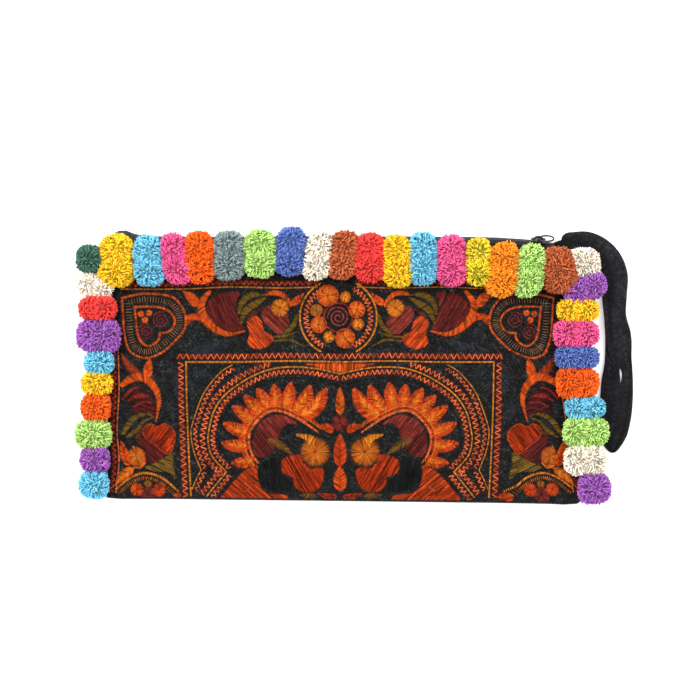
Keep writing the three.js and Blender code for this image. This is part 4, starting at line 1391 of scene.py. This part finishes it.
def smooth_column(places, values, at):
    """A smooth curve through a column of values."""
    slopes = np.gradient(values, places)
    i = np.clip(np.searchsorted(places, at) - 1, 0, len(places) - 2)
    span = places[i + 1] - places[i]
    t = (at - places[i]) / span
    rise = values[i + 1] - values[i]
    start, end = slopes[i] * span, slopes[i + 1] * span
    return values[i] + t * (start + t * (3 * rise - 2 * start - end + t * (start + end - 2 * rise)))


def strap_dip(place, from_neck, wide):
    """How deep the band is creased, gathered at its neck and wrinkled, at places across it."""
    dip = np.zeros_like(wide)
    for i, (middle, breadth, depth) in enumerate(STRAP_CREASES):
        sway = math.sin(place / CREASE_WANDER["run"] + CREASE_WANDER["phase"] * i)
        swell = math.sin(place / CREASE_STRENGTH["run"] + CREASE_STRENGTH["phase"] * i)
        wander = middle + CREASE_WANDER["reach"] * sway
        strength = CREASE_STRENGTH["mean"] + CREASE_STRENGTH["range"] * swell
        dip += depth * strength * np.exp(-(((wide - wander) / breadth) ** 2))
    neck = math.exp(-from_neck / NECK["reach"])
    dip += NECK["depth"] * neck * (1 + np.sin(wide * NECK["gathers"]))
    drift = WRINKLE["drift"] * math.sin(place / WRINKLE["drift_run"])
    dip += WRINKLE["depth"] * (1 + math.sin(place / WRINKLE["run"] + drift))
    bend = math.exp(-(((from_neck - BEND["at"]) / BEND["reach"]) ** 2))
    ripple = np.sin(place * BEND["ripple"] + BEND["slant"] * wide)
    return dip + BEND["depth"] * bend * (1 + ripple) * (1 - wide) / 2


def make_strap():
    """The soft-edged band of the wrist loop."""
    upper = [(*row, UPPER_LIFT, 0) for row in UPPER_LEG]
    lower = [(*row, LOWER_LIFT, 0) for row in LOWER_LEG]
    table = np.array([*upper, *TIP, *lower], float)
    gone = lengths_along(table[:, :2])
    at = np.linspace(0, gone[-1], STRAP_STEPS)
    fine = np.column_stack([smooth_column(gone, column, at) for column in table.T])
    heading = unit(np.gradient(fine[:, :2], axis=0))
    outline = circle(even_turns(STRAP_AROUND))
    wide, thick = (np.sign(outline) * np.abs(outline) ** STRAP_SQUARE).T
    half = STRAP_THICKNESS / 2
    rings, shades = [], []
    for place, (x, y, width, lift, roll), way in zip(at, fine, heading):
        roll = math.radians(roll)
        sideways = np.array([-way[1], way[0], 0])
        across = sideways * math.cos(roll) + np.array([0, 0, math.sin(roll)])
        above = -sideways * math.sin(roll) + np.array([0, 0, math.cos(roll)])
        dip = strap_dip(place, min(place, gone[-1] - place), wide)
        rise = thick * half - np.sign(thick) * np.minimum(dip, STRAP_DEEPEST * half) * np.abs(thick)
        middle = np.array([x, y, lift + half])
        rings.append(middle + np.outer(wide * width / 2, across) + np.outer(rise, above))
        # Painted shade by the depth of the creases, lighter where the band lies flat
        shade = STRAP_SHADE["flat"] + STRAP_SHADE["by_depth"] * dip
        shade = np.clip(shade, STRAP_SHADE["darkest"], STRAP_SHADE["flat"])
        shades.append(np.interp(y, *STRAP_FADE) * shade)
    points = np.vstack([rings[0].mean(0), *rings, rings[-1].mean(0)])
    tints = np.outer(np.concatenate([[1], *shades, [1]]), linear(STRAP_COLOUR))
    faces = (tube_faces(STRAP_STEPS, STRAP_AROUND) + 1).tolist()
    last = len(points) - 1
    for i in range(STRAP_AROUND):
        after = (i + 1) % STRAP_AROUND
        faces.append((0, 1 + after, 1 + i))
        faces.append((last, last - STRAP_AROUND + i, last - STRAP_AROUND + after))
    strap = weld(new_object("wrist_band", "strap", points, faces, tints))
    dress(strap, "strap_cloth", "wrist_strap")


make_strap()


def zip_stations():
    """Middles of the zip's chain and the directions across it, read ring by ring from its node."""
    corners = np.unique(np.round(corners_of("zip_chain"), 3), axis=0)
    rows = []
    for place in np.unique(np.round(corners[:, 0], 2)):
        ring = corners[np.abs(corners[:, 0] - place) < STATION_REACH, 1:]
        if len(ring) >= STATION_POINTS:
            across = np.linalg.svd(ring - ring.mean(0), full_matrices=False)[2][0]
            rows.append([place, *ring.mean(0), *(across * np.sign(across[1]))])
    return np.array(rows)


def make_coil():
    """Two rows of interlocking coil turns over a narrow woven bed."""
    stations = zip_stations()
    first, last = stations[0, 0], stations[-1, 0]
    shares = np.linspace(0, 1, len(COIL_SIZES))
    tubes = []

    def frame_at(x):
        y, z, across_y, across_z = (np.interp(x, stations[:, 0], column) for column in stations[:, 1:].T)
        across = unit(np.array([0, across_y, across_z]))
        return np.array([x, y, z]), across, np.array([0, across[2], -across[1]])

    for i in range(int((last - first) / COIL_PITCH) - 1):
        for side, shift in ((-1, 0), (1, 0.5)):
            middle, across, out = frame_at(first + COIL_INSET + (i + shift) * COIL_PITCH)
            rings = []
            for share, size in zip(shares, COIL_SIZES):
                reach = side * between(COIL_OUTER, COIL_INNER, share)
                arch = COIL_ARCH * math.sin(math.pi * between(*COIL_SPAN, share))
                wire = circle(even_turns(COIL_AROUND)) @ np.array([(1, 0, 0), out])
                rings.append(middle + across * reach + out * arch + COIL_RADIUS * size * wire)
            tubes.append(rings)
    bed = []
    for x in np.linspace(first, last, BED_STEPS):
        middle, across, out = frame_at(x)
        bed.append(np.array([middle + across * w + out * d for w, d in COIL_BED]))
    tubes.append(bed)
    coil = weld(new_object("zip_coil_turns", "coil", *capped_tubes(tubes, COIL_AROUND)))
    dress(coil, "zip_coil", "zip_chain")


make_coil()


def make_tape(node):
    """A zip tape with fine cross ribs, worked from its node."""
    mesh = frame["nodes"][node].data.copy()
    bm = bmesh.new()
    bm.from_mesh(mesh)
    bmesh.ops.remove_doubles(bm, verts=bm.verts, dist=TAPE_WELD * MM)
    bmesh.ops.subdivide_edges(bm, edges=bm.edges[:], cuts=TAPE_CUTS, use_grid_fill=True)
    bm.normal_update()
    for vertex in bm.verts:
        rib = math.sin(math.tau * vertex.co.x / (TAPE_RIB["pitch"] * MM))
        vertex.co += vertex.normal * (TAPE_RIB["depth"] * MM * rib)
    bm.to_mesh(mesh)
    bm.free()
    dress(show(f"{node}_ribbed", mesh, "tape"), "zip_tape", node)


for node in ("zip_tape_front", "zip_tape_back"):
    make_tape(node)


def make_slider():
    """The slider keeps its node, with softened edges and worn metal."""
    slider = frame["nodes"]["zip_slider"]
    slider.data.materials.clear()
    slider.data.materials.append(LOOKS["metal"])
    bevel = slider.modifiers.new("soft_edges", "BEVEL")
    bevel.width = SLIDER_BEVEL["width"] * MM
    bevel.segments = SLIDER_BEVEL["segments"]
    bevel.limit_method = "ANGLE"
    bevel.angle_limit = math.radians(SLIDER_BEVEL["angle"])


make_slider()


def make_ring():
    """The oval wire ring of the pull, round its node's middle and across its hinge."""
    corners = corners_of("zip_pull")
    hinge = frame["joints"][0]
    axis = unit(np.array(hinge["axis"]))
    along = (corners.min(0) + corners.max(0)) / 2 - np.array(hinge["pos_m"]) / MM
    along = unit(along - axis * (along @ axis))
    square = np.cross(axis, along)
    middle = corners.mean(0)
    offset = corners - middle
    long_half = np.ptp(offset @ along) / 2 - RING_WIRE
    wide_half = np.ptp(offset @ axis) / 2 - RING_WIRE
    points = []
    for turn in even_turns(RING_STEPS):
        centre = middle + along * long_half * math.cos(turn) + axis * wide_half * math.sin(turn)
        outward = unit(along * math.cos(turn) * wide_half + axis * math.sin(turn) * long_half)
        for small in even_turns(RING_AROUND):
            points.append(centre + RING_WIRE * (outward * math.cos(small) + square * math.sin(small)))
    faces = tube_faces(RING_STEPS + 1, RING_AROUND) % len(points)
    ring = weld(new_object("pull_ring", "metal", points, faces))
    dress(ring, "zip_metal", "zip_pull", body="pull")


make_ring()
